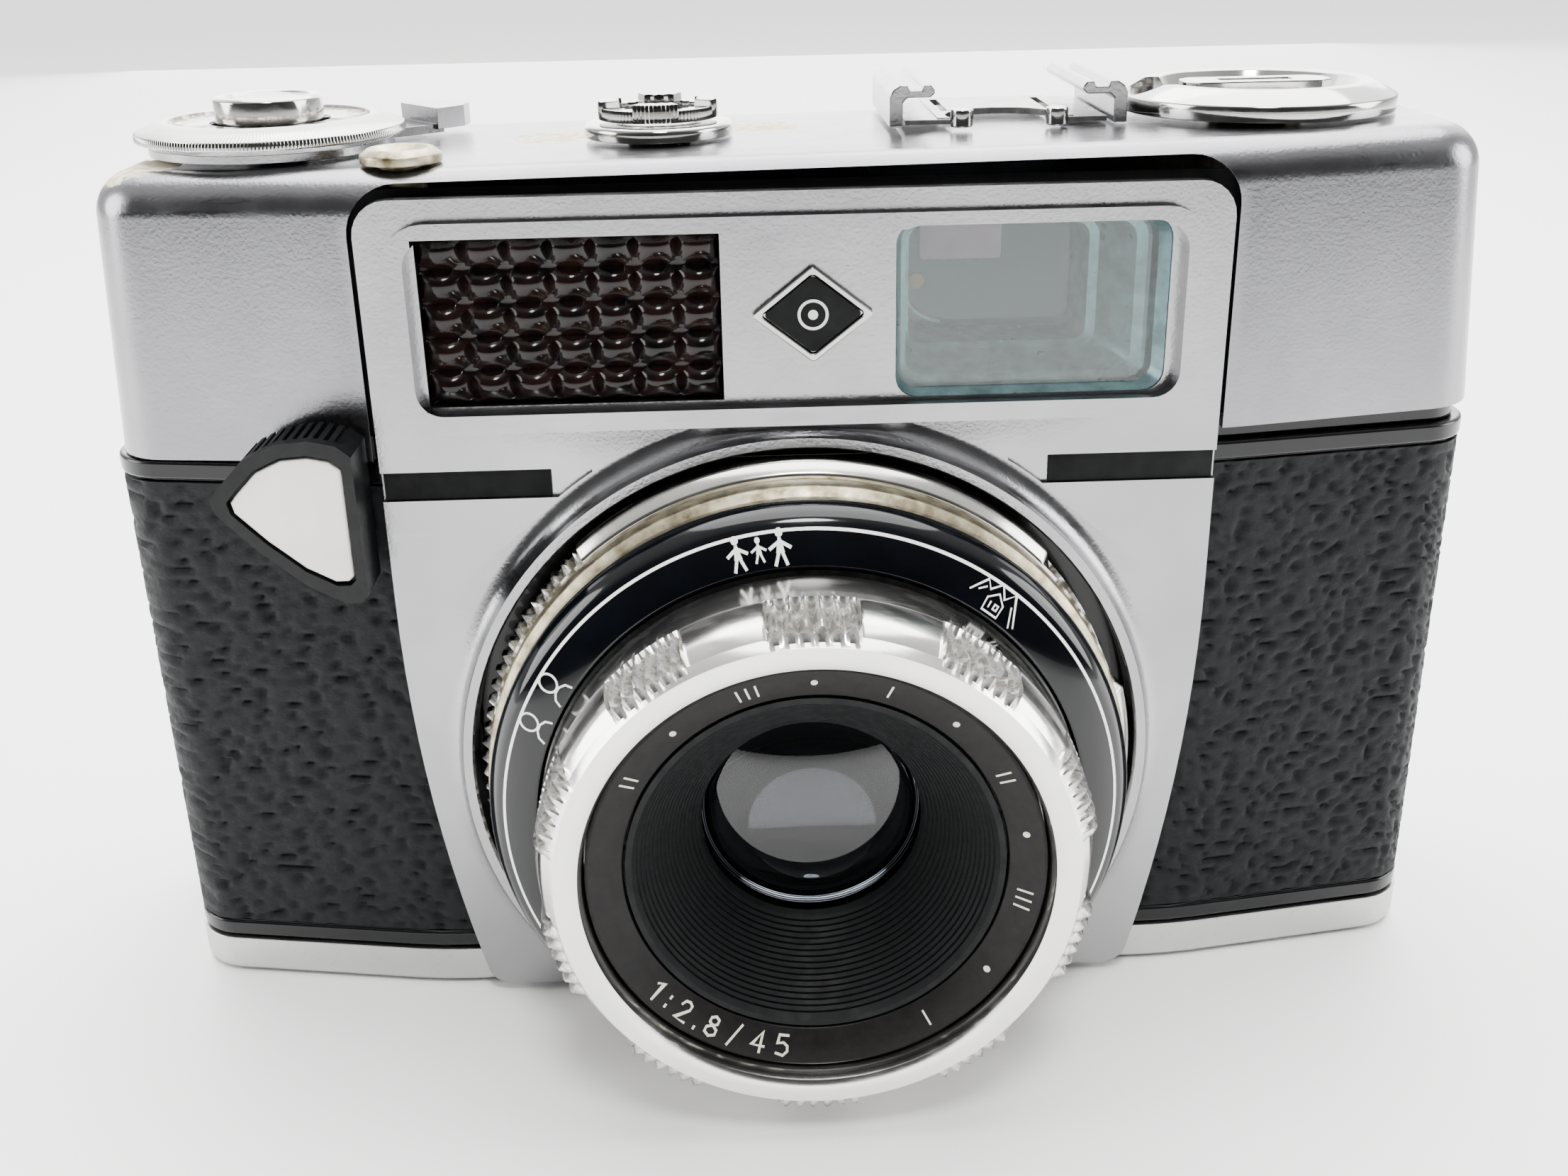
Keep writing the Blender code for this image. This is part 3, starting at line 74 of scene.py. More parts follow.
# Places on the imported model, in millimetres. The lens looks along -Y.
LENS = middle("front_element")
LENS_X, LENS_Z = LENS.x, LENS.z
BODY_LOW, BODY_HIGH = span("leather_left")[0], span("leather_right")[1]
HALF = BODY_HIGH.x
FRONT = BODY_LOW.y
BACK = span("door_leather")[1].y
LEATHER_FOOT, LEATHER_TOP = BODY_LOW.z, BODY_HIGH.z
BASE_TOP = span("base_plate")[1].z
TRIM_LOW, TRIM_HIGH = span("front_trim")
TRIM_HALF = TRIM_HIGH.x
FINDER_LOW, FINDER_HIGH = span("finder_window")
BADGE = middle("badge")
SETTING_LOW, SETTING_HIGH = span("setting_ring")
BRASS_LOW, BRASS_HIGH = span("brass_ring")
SYMBOL_LOW, SYMBOL_HIGH = span("symbol_ring")
FOCUS_LOW, FOCUS_HIGH = span("focus_ring")
NAME_LOW, NAME_HIGH = span("name_ring")
CELL_LOW, CELL_HIGH = span("front_cell")
GLASS_LOW, GLASS_HIGH = span("front_element")
WIND_LOW, WIND_HIGH = span("wind_dial")
COUNTER_LOW, COUNTER_HIGH = span("counter_knob")
REWIND_LOW, REWIND_HIGH = span("rewind_knob")
REMINDER = middle("reminder_dial")
FLANGE_LOW, FLANGE_HIGH = span("reminder_flange")
SOCKET = middle("release_socket")
TILT = 0.0122  # the cover rises this much for each unit to the right
COVER_TOP = 79.5
COLLAR_BORE, COLLAR_OUT = 30.3, 33.9
GROOVE_LOW, GROOVE_HIGH = 51.4, 54.0

# The studio, in metres and degrees
FLOOR_HALF, FLOOR_DROP = 4.0, 0.0002
VIEW_PLACE = (-0.00508, -0.1528, 0.09885)
VIEW_PAN, VIEW_TILT, VIEW_ROLL = -1.45, -22.8, 1.20
WORLD_STRENGTH = 4.0


class CameraSizes(bpy.types.PropertyGroup):
    """Sizes that set how fine the pieces look, with the view's focal length and the key light."""

    sheet_roll: FloatProperty(
        name="Cover roll", description="Radius of the cover's rolled top edge", default=0.0035, unit="LENGTH"
    )
    leather_pit: FloatProperty(
        name="Leather pit", description="Depth of the pits in the leather", default=0.00042, unit="LENGTH"
    )
    leather_step: FloatProperty(
        name="Leather step", description="Distance between points on the leather",
        default=0.00042, unit="LENGTH"
    )
    groove: FloatProperty(
        name="Grip groove", description="Depth of the grooves in the focus ring",
        default=0.0009, unit="LENGTH"
    )
    cone_grooves: IntProperty(
        name="Cone grooves", description="Grooves in the cone round the glass", default=17, min=1
    )
    lens_length: FloatProperty(
        name="Focal length", description="Focal length of the view, for a 36 mm frame", default=37.61
    )
    key_light: FloatProperty(name="Key light", description="Power of the large overhead light", default=15.0)


class CameraColours(bpy.types.PropertyGroup):
    """Colours that a user would change."""

    leather: FloatVectorProperty(
        name="Leather", description="Covering of the body", subtype="COLOR", size=3, default=(
            0.0060, 0.0074, 0.0082
        )
    )
    floor: FloatVectorProperty(
        name="Floor", description="Studio floor", subtype="COLOR", size=3, default=(0.93, 0.93, 0.92)
    )


# ---------------------------------------------------------------- materials


def hex_colour(text):
    """An sRGB hex colour as linear RGBA."""
    parts = [int(text[i : i + 2], 16) / 255 for i in (1, 3, 5)]
    linear = [c / 12.92 if c <= 0.04045 else ((c + 0.055) / 1.055) ** 2.4 for c in parts]
    return (*linear, 1.0)


def add(tree, kind, settings=None, values=None, links=None):
    """A node with its settings, its socket values and the outputs that feed it."""
    made = tree.nodes.new(kind)
    for key, value in (settings or {}).items():
        setattr(made, key, value)
    for key, value in (values or {}).items():
        made.inputs[key].default_value = value
    for key, source in (links or {}).items():
        tree.links.new(source, made.inputs[key])
    return made


def start(name, **values):
    """A material with one Principled shader, whose sockets hold the constants."""
    made = bpy.data.materials.new(name)
    made.use_nodes = True
    shader = made.node_tree.nodes["Principled BSDF"]
    for key, value in values.items():
        shader.inputs[key.replace("_", " ").title().replace("Ior", "IOR")].default_value = value
    return made, made.node_tree, shader


def ramp(tree, source, stops, interpolation="LINEAR"):
    """A colour ramp through (position, colour or grey) stops."""
    made = add(tree, "ShaderNodeValToRGB", links={"Fac": source})
    made.color_ramp.interpolation = interpolation
    while len(made.color_ramp.elements) < len(stops):
        made.color_ramp.elements.new(0.5)
    for element, (position, colour) in zip(made.color_ramp.elements, stops):
        element.position = position
        element.color = colour if isinstance(colour, tuple) else (colour, colour, colour, 1.0)
    return made.outputs["Color"]


def grain(tree, per_mm, detail=4.0, scale=(1.0, 1.0, 1.0), coordinates=None):
    """Noise on Object coordinates, its cells per_mm to the millimetre, stretched by scale."""
    if coordinates is None:
        coordinates = add(tree, "ShaderNodeTexCoord").outputs["Object"]
    turned = add(tree, "ShaderNodeMapping", values={"Scale": scale}, links={"Vector": coordinates})
    made = add(
        tree,
        "ShaderNodeTexNoise",
        values={"Scale": per_mm / MM, "Detail": detail, "Roughness": 0.6},
        links={"Vector": turned.outputs["Vector"]},
    )
    return made.outputs["Fac"]


def bump(tree, height, distance_mm, strength=1.0, normal=None):
    """A relief from a height socket, distance_mm deep, over another relief if one is given."""
    links = {"Height": height}
    if normal is not None:
        links["Normal"] = normal
    made = add(
        tree, "ShaderNodeBump", values={"Strength": strength, "Distance": distance_mm * MM}, links=links
    )
    return made.outputs["Normal"]


def mix(tree, factor, first, second):
    """Two colours mixed by a factor socket. A colour is a socket or a tuple."""
    made = add(tree, "ShaderNodeMix", {"data_type": "RGBA"}, links={"Factor": factor})
    for key, value in (("A", first), ("B", second)):
        socket = [s for s in made.inputs if s.name == key and s.type == "RGBA"][0]
        if isinstance(value, tuple):
            socket.default_value = value
        else:
            tree.links.new(value, socket)
    return [s for s in made.outputs if s.type == "RGBA"][0]


def calc(tree, operation, *values):
    """A Math node. Each value is a number or a socket."""
    made = add(tree, "ShaderNodeMath", {"operation": operation})
    for socket, value in zip(made.inputs, values):
        if isinstance(value, (int, float)):
            socket.default_value = value
        else:
            tree.links.new(value, socket)
    return made.outputs["Value"]


def spot(tree, centre, radius):
    """1 at a point given in millimetres, falling to 0 at a radius."""
    place = add(tree, "ShaderNodeTexCoord").outputs["Object"]
    away = add(
        tree,
        "ShaderNodeVectorMath",
        {"operation": "DISTANCE"},
        {1: [v * MM for v in centre]},
        {0: place},
    ).outputs["Value"]
    share = calc(tree, "DIVIDE", away, radius * MM)
    return calc(tree, "SUBTRACT", 1.0, calc(tree, "MINIMUM", share, 1.0))


def attribute(tree, name):
    """A painted value on the piece's points."""
    return add(tree, "ShaderNodeAttribute", {"attribute_name": name}).outputs["Fac"]


def satin_chrome(name, base, roughness, patches=(), texture=0.5):
    """Bead-blasted brass under chrome plate: a soft sheen, a fine grain, hairlines and old residue."""
    made, tree, shader = start(name, metallic=1.0, roughness=roughness)
    wide = grain(tree, 0.035, 3.0)
    tint = ramp(tree, wide, [(0.3, hex_colour(base[0])), (0.7, hex_colour(base[1]))])
    speck = ramp(tree, grain(tree, 1.4, 2.0), [(0.60, 0.0), (0.72, 0.25)])
    tint = mix(tree, speck, tint, hex_colour("#8A8A88"))
    hair = ramp(tree, grain(tree, 0.5, 2.0, (0.12, 1.0, 1.6)), [(0.62, 0.0), (0.66, 0.5), (0.70, 0.0)])
    rough = calc(tree, "ADD", calc(tree, "MULTIPLY", grain(tree, 0.3, 4.0), 0.16), roughness - 0.08)
    rough = calc(tree, "SUBTRACT", rough, calc(tree, "MULTIPLY", hair, 0.12))
    metal = None
    if patches:
        ragged = grain(tree, 0.45, 5.0)
        cover = None
        for centre, radius in patches:
            near = calc(tree, "MULTIPLY", spot(tree, centre, radius), 1.6)
            cover = near if cover is None else calc(tree, "MAXIMUM", cover, near)
        mask = calc(tree, "ADD", cover, calc(tree, "MULTIPLY", calc(tree, "SUBTRACT", ragged, 0.5), 1.3))
        mask = ramp(tree, mask, [(0.50, 0.0), (0.58, 1.0)])
        crust = ramp(
            tree, grain(tree, 1.1, 4.0), [(0.35, hex_colour("#B9A98A")), (0.65, hex_colour("#E9E2D0"))]
        )
        tint = mix(tree, mask, tint, crust)
        metal = calc(tree, "SUBTRACT", 1.0, mask)
        rough = calc(tree, "MAXIMUM", rough, calc(tree, "MULTIPLY", mask, 0.8))
    tree.links.new(tint, shader.inputs["Base Color"])
    tree.links.new(rough, shader.inputs["Roughness"])
    if metal is not None:
        tree.links.new(metal, shader.inputs["Metallic"])
    height = calc(tree, "ADD", grain(tree, 3.2, 3.0), calc(tree, "MULTIPLY", grain(tree, 0.8, 2.0), 0.6))
    tree.links.new(bump(tree, height, 0.035, texture), shader.inputs["Normal"])
    return made


def bright_chrome(name, base, roughness, grime="#6E5B3E"):
    """Polished and plated brass: near mirror, with fine swirl marks, and grime where its attribute is set."""
    made, tree, shader = start(name, metallic=1.0)
    wide = ramp(tree, grain(tree, 0.08, 3.0), [(0.3, hex_colour(base[0])), (0.7, hex_colour(base[1]))])
    mask = calc(
        tree, "MULTIPLY", attribute(tree, "grime"),
        ramp(tree, grain(tree, 0.9, 4.0), [(0.38, 0.15), (0.56, 1.0)])
    )
    tint = mix(tree, mask, wide, hex_colour(grime))
    swirl = ramp(tree, grain(tree, 0.6, 3.0, (0.2, 1.0, 1.0)), [(0.5, 0.0), (0.62, 1.0)])
    rough = calc(tree, "ADD", calc(tree, "MULTIPLY", swirl, 0.06), roughness)
    rough = calc(tree, "MAXIMUM", rough, calc(tree, "MULTIPLY", mask, 0.7))
    tree.links.new(tint, shader.inputs["Base Color"])
    tree.links.new(rough, shader.inputs["Roughness"])
    tree.links.new(calc(tree, "SUBTRACT", 1.0, calc(tree, "MULTIPLY", mask, 0.8)), shader.inputs["Metallic"])
    tree.links.new(bump(tree, grain(tree, 1.5, 3.0), 0.01, 0.35), shader.inputs["Normal"])
    return made


def worn_brass(name):
    """Machined brass with the plating rubbed off: dull straw, specked brown, with a fine even grain in its
    relief.
    """
    made, tree, shader = start(name, metallic=1.0)
    tint = ramp(
        tree, grain(tree, 0.5, 5.0),
        [(0.32, hex_colour("#6B604B")), (0.5, hex_colour("#A39A82")), (0.7, hex_colour("#C2BAA2"))]
    )
    tree.links.new(tint, shader.inputs["Base Color"])
    tree.links.new(ramp(tree, grain(tree, 0.7, 4.0), [(0.3, 0.30), (0.7, 0.52)]), shader.inputs["Roughness"])
    tree.links.new(bump(tree, grain(tree, 2.0, 3.0), 0.03, 0.6), shader.inputs["Normal"])
    return made


def black_leather(name, colour):
    """Pressed leathercloth: near black, a little blue, with painted shade darkening the pits, and polished on
    the high grain.
    """
    made, tree, shader = start(name, specular_ior_level=0.16)
    pit = attribute(tree, "pit")
    # Painted shade: the pit attribute darkens the colour in the pits.
    dark = (colour[0] * 0.35, colour[1] * 0.35, colour[2] * 0.38, 1.0)
    tint = mix(tree, pit, (*colour, 1.0), dark)
    fleck = ramp(tree, grain(tree, 0.5, 5.0), [(0.62, 0.0), (0.76, 0.35)])
    tint = mix(tree, fleck, tint, hex_colour("#2C3133"))
    tree.links.new(tint, shader.inputs["Base Color"])
    tree.links.new(ramp(tree, grain(tree, 1.2, 3.0), [(0.3, 0.50), (0.7, 0.66)]), shader.inputs["Roughness"])
    fine = bump(tree, grain(tree, 2.4, 4.0, (1.0, 1.0, 1.5)), 0.09, 0.7)
    tree.links.new(fine, shader.inputs["Normal"])
    return made


def plain(name, low, high, roughness, per_mm, depth_mm, metallic=0.0, coat=0.0, strength=0.5):
    """A surface of two near colours, with a grain of one size in its colour, gloss and relief."""
    made, tree, shader = start(name, metallic=metallic, coat_weight=coat, specular_ior_level=0.22)
    shader.inputs["Coat Roughness"].default_value = 0.04
    tint = ramp(tree, grain(tree, per_mm, 4.0), [(0.35, hex_colour(low)), (0.65, hex_colour(high))])
    tree.links.new(tint, shader.inputs["Base Color"])
    gloss = ramp(tree, grain(tree, per_mm * 0.6, 3.0), [(0.3, roughness * 0.85), (0.7, roughness * 1.15)])
    tree.links.new(gloss, shader.inputs["Roughness"])
    tree.links.new(bump(tree, grain(tree, per_mm * 2.0, 3.0), depth_mm, strength), shader.inputs["Normal"])
    return made


def clear(name, colour, roughness=0.01, ior=1.52, alpha=1.0, coat=0.0):
    """Optical glass, faintly tinted by its coating."""
    made, tree, shader = start(
        name, roughness=roughness, ior=ior, transmission_weight=1.0, alpha=alpha, coat_weight=coat
    )
    dust = ramp(tree, grain(tree, 1.8, 2.0), [(0.70, 0.0), (0.74, 0.05)])
    tree.links.new(mix(tree, dust, hex_colour(colour), hex_colour("#FFFFFF")), shader.inputs["Base Color"])
    return made


# ---------------------------------------------------------------- shapes, drawn in millimetres


def polygon(outline, axis="Z", at=0.0):
    """A bmesh with one face, its outline drawn across an axis."""
    place = {"Z": lambda a, b: (a, b, at), "Y": lambda a, b: (a, at, b), "X": lambda a, b: (at, a, b)}[axis]
    bm = bmesh.new()
    bm.faces.new([bm.verts.new(place(a, b)) for a, b in outline])
    return bm


def extruded(outline, low, high, axis="Z"):
    """A prism of an outline between two places on an axis."""
    bm = polygon(outline, axis, low)
    pushed = bmesh.ops.extrude_face_region(bm, geom=bm.faces[:])
    step = {"Z": (0, 0, high - low), "Y": (0, high - low, 0), "X": (high - low, 0, 0)}[axis]
    bmesh.ops.translate(bm, vec=step, verts=[v for v in pushed["geom"] if isinstance(v, bmesh.types.BMVert)])
    face_out(bm)
    return bm


def face_out(bm):
    """Merges doubled points and turns every face outward."""
    bmesh.ops.remove_doubles(bm, verts=bm.verts, dist=1e-4)
    bmesh.ops.recalc_face_normals(bm, faces=bm.faces)
    if bm.calc_volume(signed=True) < 0:
        bmesh.ops.reverse_faces(bm, faces=bm.faces)


def box(x, y, z):
    """A block between two places on each axis."""
    return extruded([(x[0], y[0]), (x[1], y[0]), (x[1], y[1]), (x[0], y[1])], z[0], z[1])


def round_edges(bm, chosen, width, segments=4):
    """Rounds the edges that the chosen test picks."""
    edges = [e for e in bm.edges if chosen(e)]
    bmesh.ops.bevel(
        bm, geom=edges, offset=width, segments=segments, profile=0.5,
        affect="EDGES", material=-1, clamp_overlap=True
    )


def along(axis, near=None):
    """Chooses the edges that run along an axis, and whose middle passes the near test."""
    index = "XYZ".index(axis)

    def chosen(edge):
        step = edge.verts[1].co - edge.verts[0].co
        straight = abs(step[index]) > 0.999 * step.length
        return straight and (near is None or near((edge.verts[0].co + edge.verts[1].co) / 2))

    return chosen


def lathe(profile, centre=(0.0, 0.0), axis="Y", steps=160):
    """A closed solid from a profile of (radius, place on the axis) points, spun round its axis."""
    bm = bmesh.new()
    if axis == "Y":
        spots = [(centre[0] + r, h, centre[1]) for r, h in profile]
        hub, line = (centre[0], 0.0, centre[1]), (0.0, 1.0, 0.0)
    else:
        spots = [(centre[0] + r, centre[1], h) for r, h in profile]
        hub, line = (centre[0], centre[1], 0.0), (0.0, 0.0, 1.0)
    verts = [bm.verts.new(p) for p in spots]
    count = len(verts)
    pairs = [(i, (i + 1) % count) for i in range(count)]
    edges = [bm.edges.new((verts[a], verts[b])) for a, b in pairs if profile[a][0] > 0 or profile[b][0] > 0]
    bmesh.ops.spin(bm, geom=verts + edges, cent=hub, axis=line, angle=math.tau, steps=steps, use_merge=True)
    face_out(bm)
    return bm


def lens_lathe(profile, steps=160):
    return lathe(profile, (LENS_X, LENS_Z), "Y", steps)


def softened(profile, radius=0.25, segments=2):
    """The profile with each sharp corner off the axis cut by a short curve."""
    made = []
    count = len(profile)
    for i, point in enumerate(profile):
        here = Vector(point)
        before, after = Vector(profile[i - 1]) - here, Vector(profile[(i + 1) % count]) - here
        if point[0] <= 0 or min(
            before.length, after.length
        ) < 1e-6 or before.angle(after) > math.radians(155):
            made.append(tuple(here))
            continue
        reach = min(radius, before.length * 0.4, after.length * 0.4)
        first, last = here + before.normalized() * reach, here + after.normalized() * reach
        for k in range(segments + 1):
            t = k / segments
            made.append(tuple(first * (1 - t) ** 2 + here * 2 * t * (1 - t) + last * t * t))
    return made


def clock(point):
    """Degrees clockwise from the top, seen from the front, of a point round the lens."""
    return math.degrees(math.atan2(point.x - LENS_X, point.z - LENS_Z)) % 360


def saw(share):
    """A triangle wave from 0 to 1 and back over each whole step."""
    part = share % 1.0
    return 1.0 - abs(2.0 * part - 1.0)


def pull_in(vertex, amount, centre, axis):
    """Moves a vertex towards an axis through the centre."""
    flat = Vector((vertex.co.x - centre[0], 0.0, vertex.co.z - centre[1])) if axis == "Y" else Vector(
        (vertex.co.x - centre[0], vertex.co.y - centre[1], 0.0)
    )
    if flat.length > 1e-6:
        vertex.co -= flat.normalized() * amount


def make(name, bm, material, body, stands_for=(), bevel=0.0, segments=2, smooth=35.0, limit=40.0):
    """A finished object from a bmesh in millimetres, riding on a body of the frame."""
    bmesh.ops.scale(bm, vec=(MM, MM, MM), verts=bm.verts)
    mesh = bpy.data.meshes.new(name)
    bm.to_mesh(mesh)
    bm.free()
    return settle(name, mesh, material, body, stands_for, bevel, segments, smooth, limit)


def settle(
    name, mesh, material, body, stands_for=(), bevel=0.0, segments=2, smooth=35.0, limit=40.0
):
    mesh.shade_smooth()
    mesh.set_sharp_from_angle(angle=math.radians(smooth))
    obj = bpy.data.objects.new(name, mesh)
    bpy.context.scene.collection.objects.link(obj)
    mesh.materials.clear()
    mesh.materials.append(material)
    if bevel:
        edge = obj.modifiers.new("Edge", "BEVEL")
        edge.width = bevel * MM
        edge.segments = segments
        edge.limit_method = "ANGLE"
        edge.angle_limit = math.radians(limit)
        edge.harden_normals = True
    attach(obj, body)
    if stands_for:
        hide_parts(*stands_for)
    return obj


def carve(bm, operation, *tools):
    """Cuts or joins shapes and gives the result as a new bmesh."""
    mesh = bpy.data.meshes.new("work")
    bm.to_mesh(mesh)
    bm.free()
    work = bpy.data.objects.new("work", mesh)
    bpy.context.scene.collection.objects.link(work)
    helpers = []
    for tool in tools:
        tool_mesh = bpy.data.meshes.new("tool")
        tool.to_mesh(tool_mesh)
        tool.free()
        helper = bpy.data.objects.new("tool", tool_mesh)
        bpy.context.scene.collection.objects.link(helper)
        helpers.append(helper)
        modifier = work.modifiers.new("Cut", "BOOLEAN")
        modifier.operation = operation
        modifier.solver = "EXACT"
        modifier.object = helper
    bpy.context.view_layer.update()
    graph = bpy.context.evaluated_depsgraph_get()
    done = bmesh.new()
    done.from_object(work, graph)
    for spare in [work, *helpers]:
        bpy.data.objects.remove(spare, do_unlink=True)
    return done


def paint(obj, name, value_of):
    """A point attribute from a function of each vertex, in millimetres."""
    layer = obj.data.attributes.new(name, "FLOAT", "POINT")
    for i, vertex in enumerate(obj.data.vertices):
        layer.data[i].value = value_of(vertex.co / MM)
    return obj


# ---------------------------------------------------------------- the body's plan

SWEEP_START, SWEEP = 36.0, 0.16


def plan_block(inset, low, high, pull=0.0, shift=0.0, corners=(5.0, 6.0), steps=8):
    """A block with the body's plan: flat in front, swept back at the sides, round at the corners."""
    half, front, back = HALF - inset - pull, FRONT + inset, BACK - inset
    swept = front + SWEEP * (half - SWEEP_START)
    right = [(SWEEP_START, front), (half, swept), (half, back)]
    outline = [(x + shift, y) for x, y in right] + [(shift - x, y) for x, y in reversed(right)]
    bm = extruded(outline, low, high)
    near, far = corners[0] - inset, corners[1] - inset
    at_front = lambda p: p.y < 0 and abs(p.x - shift) > SWEEP_START + 5
    round_edges(bm, along("Z", at_front), near * 0.852, steps)
    round_edges(bm, along("Z", lambda p: p.y > 0), far, steps)
    at_sweep = lambda p: p.y < 0 and abs(abs(p.x - shift) - SWEEP_START) < 0.5
    round_edges(bm, along("Z", at_sweep), 3.0, 4)
    return bm


def lean(bm, foot):
    """Tilts the cover's block: it rises to the right, and its ends lean in."""
    for vertex in bm.verts:
        rise = vertex.co.z - foot
        vertex.co.x -= math.copysign(
            min(abs(vertex.co.x), 0.07 * rise * abs(vertex.co.x) / HALF), vertex.co.x
        )
        vertex.co.x -= TILT * rise
        vertex.co.z += TILT * vertex.co.x


def cover_z(x):
    return COVER_TOP + TILT * x


def trim_outline(grow=0.0, foot=0.9):
    """The front trim from the front: straight above, flaring in towards the foot."""
    side = []
    for i in range(13):
        z = foot + (42.0 - foot) * i / 12
        side.append((TRIM_HALF + grow - 0.0031 * (42.0 - z) ** 2, z))
    top = TRIM_HIGH.z + grow
    right = side + [(TRIM_HALF + grow, top)]
    return right + [(-x, z) for x, z in reversed(right)]


class PieceOperator(bpy.types.Operator):
    """What every piece's operator shares."""

    bl_idname = "camera.piece"
    bl_label = "Piece"
    bl_options = {"REGISTER", "UNDO"}

    def execute(self, context):
        self.build(context.scene.camera_sizes, context.scene.camera_colours)
        return {"FINISHED"}

    def build(self, sizes, colours):
        raise NotImplementedError


class CAMERA_OT_materials(PieceOperator):
    """Makes the materials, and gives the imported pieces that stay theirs"""

    bl_idname = "camera.materials"
    bl_label = "Materials"

    def build(self, sizes, colours):
        residue = [
            ((-21.5, 1.5, cover_z(-21.5)), 5.5),
            ((-1.8, 3.5, cover_z(-1.8)), 5.0),
            ((WIND_LOW.x + 2.0, -8.0, cover_z(WIND_LOW.x)), 5.5),
            ((REWIND_HIGH.x + 1.0, 4.0, cover_z(REWIND_HIGH.x)), 4.5),
        ]
        satin_chrome("Cover chrome", ("#77777B", "#8B8B8E"), 0.24, residue)
        satin_chrome("Trim chrome", ("#8B8B8E", "#A0A0A1"), 0.22)
        satin_chrome("Base chrome", ("#B6B7B5", "#C6C7C4"), 0.34)
        bright_chrome("Polished chrome", ("#A9A9A8", "#BDBCB9"), 0.09)
        bright_chrome("Grip chrome", ("#DAD9D6", "#E6E4DF"), 0.16, "#4A4338")
        bright_chrome("Setting chrome", ("#C9C8C2", "#D8D6CF"), 0.16, "#5D5547")
        worn_brass("Worn brass")
        black_leather("Leathercloth", tuple(colours.leather))
        plain("Black enamel", "#060708", "#0B0C0E", 0.24, 0.3, 0.02, coat=0.2)
        plain("Ring lacquer", "#020305", "#04060A", 0.10, 0.3, 0.006, coat=0.3, strength=0.3)
        plain("Name plate", "#0B0909", "#110F0E", 0.46, 1.5, 0.03)
        plain("Cone black", "#060708", "#0B0D0F", 0.60, 1.2, 0.03)
        plain("Flat black", "#0A0B0C", "#101112", 0.80, 0.5, 0.04)
        plain("Ribbed plastic", "#0A0B0C", "#121314", 0.40, 0.8, 0.03)
        plain("Cream plastic", "#EFEBE2", "#F7F4EE", 0.30, 0.2, 0.01, coat=0.3)
        plain("Honeycomb plastic", "#050404", "#1A0D0B", 0.14, 0.35, 0.01, coat=0.1)
        plain("Ivory fill", "#D9D2C0", "#E8E2D4", 0.55, 1.0, 0.02)
        plain("White fill", "#F2F2EF", "#FFFFFC", 0.45, 1.0, 0.01)
        plain("Steel", "#8E8E8C", "#A8A8A6", 0.30, 0.8, 0.02, metallic=1.0)
        plain("Selenium", "#2A2322", "#3A3230", 0.35, 0.4, 0.02, metallic=0.4)
        plain("Finder mask", "#4C6264", "#6C8587", 0.30, 0.4, 0.01, metallic=0.5, coat=0.3)
        # Painted shade for the inside of the finder.
        plain("Finder dark", "#050D0E", "#0B1617", 0.12, 0.3, 0.005, coat=0.3)
        # Colours of the painted reflections inside the finder.
        plain("Finder pink", "#B88894", "#C39AA3", 0.35, 0.3, 0.005)
        plain("Finder tan", "#B5825A", "#C89A72", 0.35, 0.3, 0.005)
        plain("Finder glow", "#B9D6D4", "#E2F2EF", 0.30, 0.3, 0.005)
        clear("Coated glass", "#C9D2E2", coat=0.0)
        clear("Finder glass", "#E2F2F2")
        clear("Clear glass", "#E9F1F2")
        keep = {
            "Black enamel": ("chassis", "back_door", "pressure_plate"),
            "Flat black": ("shutter_blade_left", "shutter_blade_right", "rear_cell"),
            "Steel": (
                "tripod_bush", "base_screw_left", "base_screw_right", "sprocket", "film_gate", "hinge_pin",
                "rewind_fork", "meter_movement", "meter_needle", "shutter_housing", "pressure_spring",
            ),
            "Selenium": ("selenium_cell",),
            "Worn brass": ("rewind_sleeve",),
            "Ribbed plastic": ("takeup_spool",),
            "Clear glass": ("middle_element", "rear_element", "finder_eye_lens"),
        }
        for name, nodes in keep.items():
            for node in nodes:
                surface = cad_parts[node].data.materials
                surface.clear()
                surface.append(bpy.data.materials[name])


def finish_of(name):
    return bpy.data.materials[name]


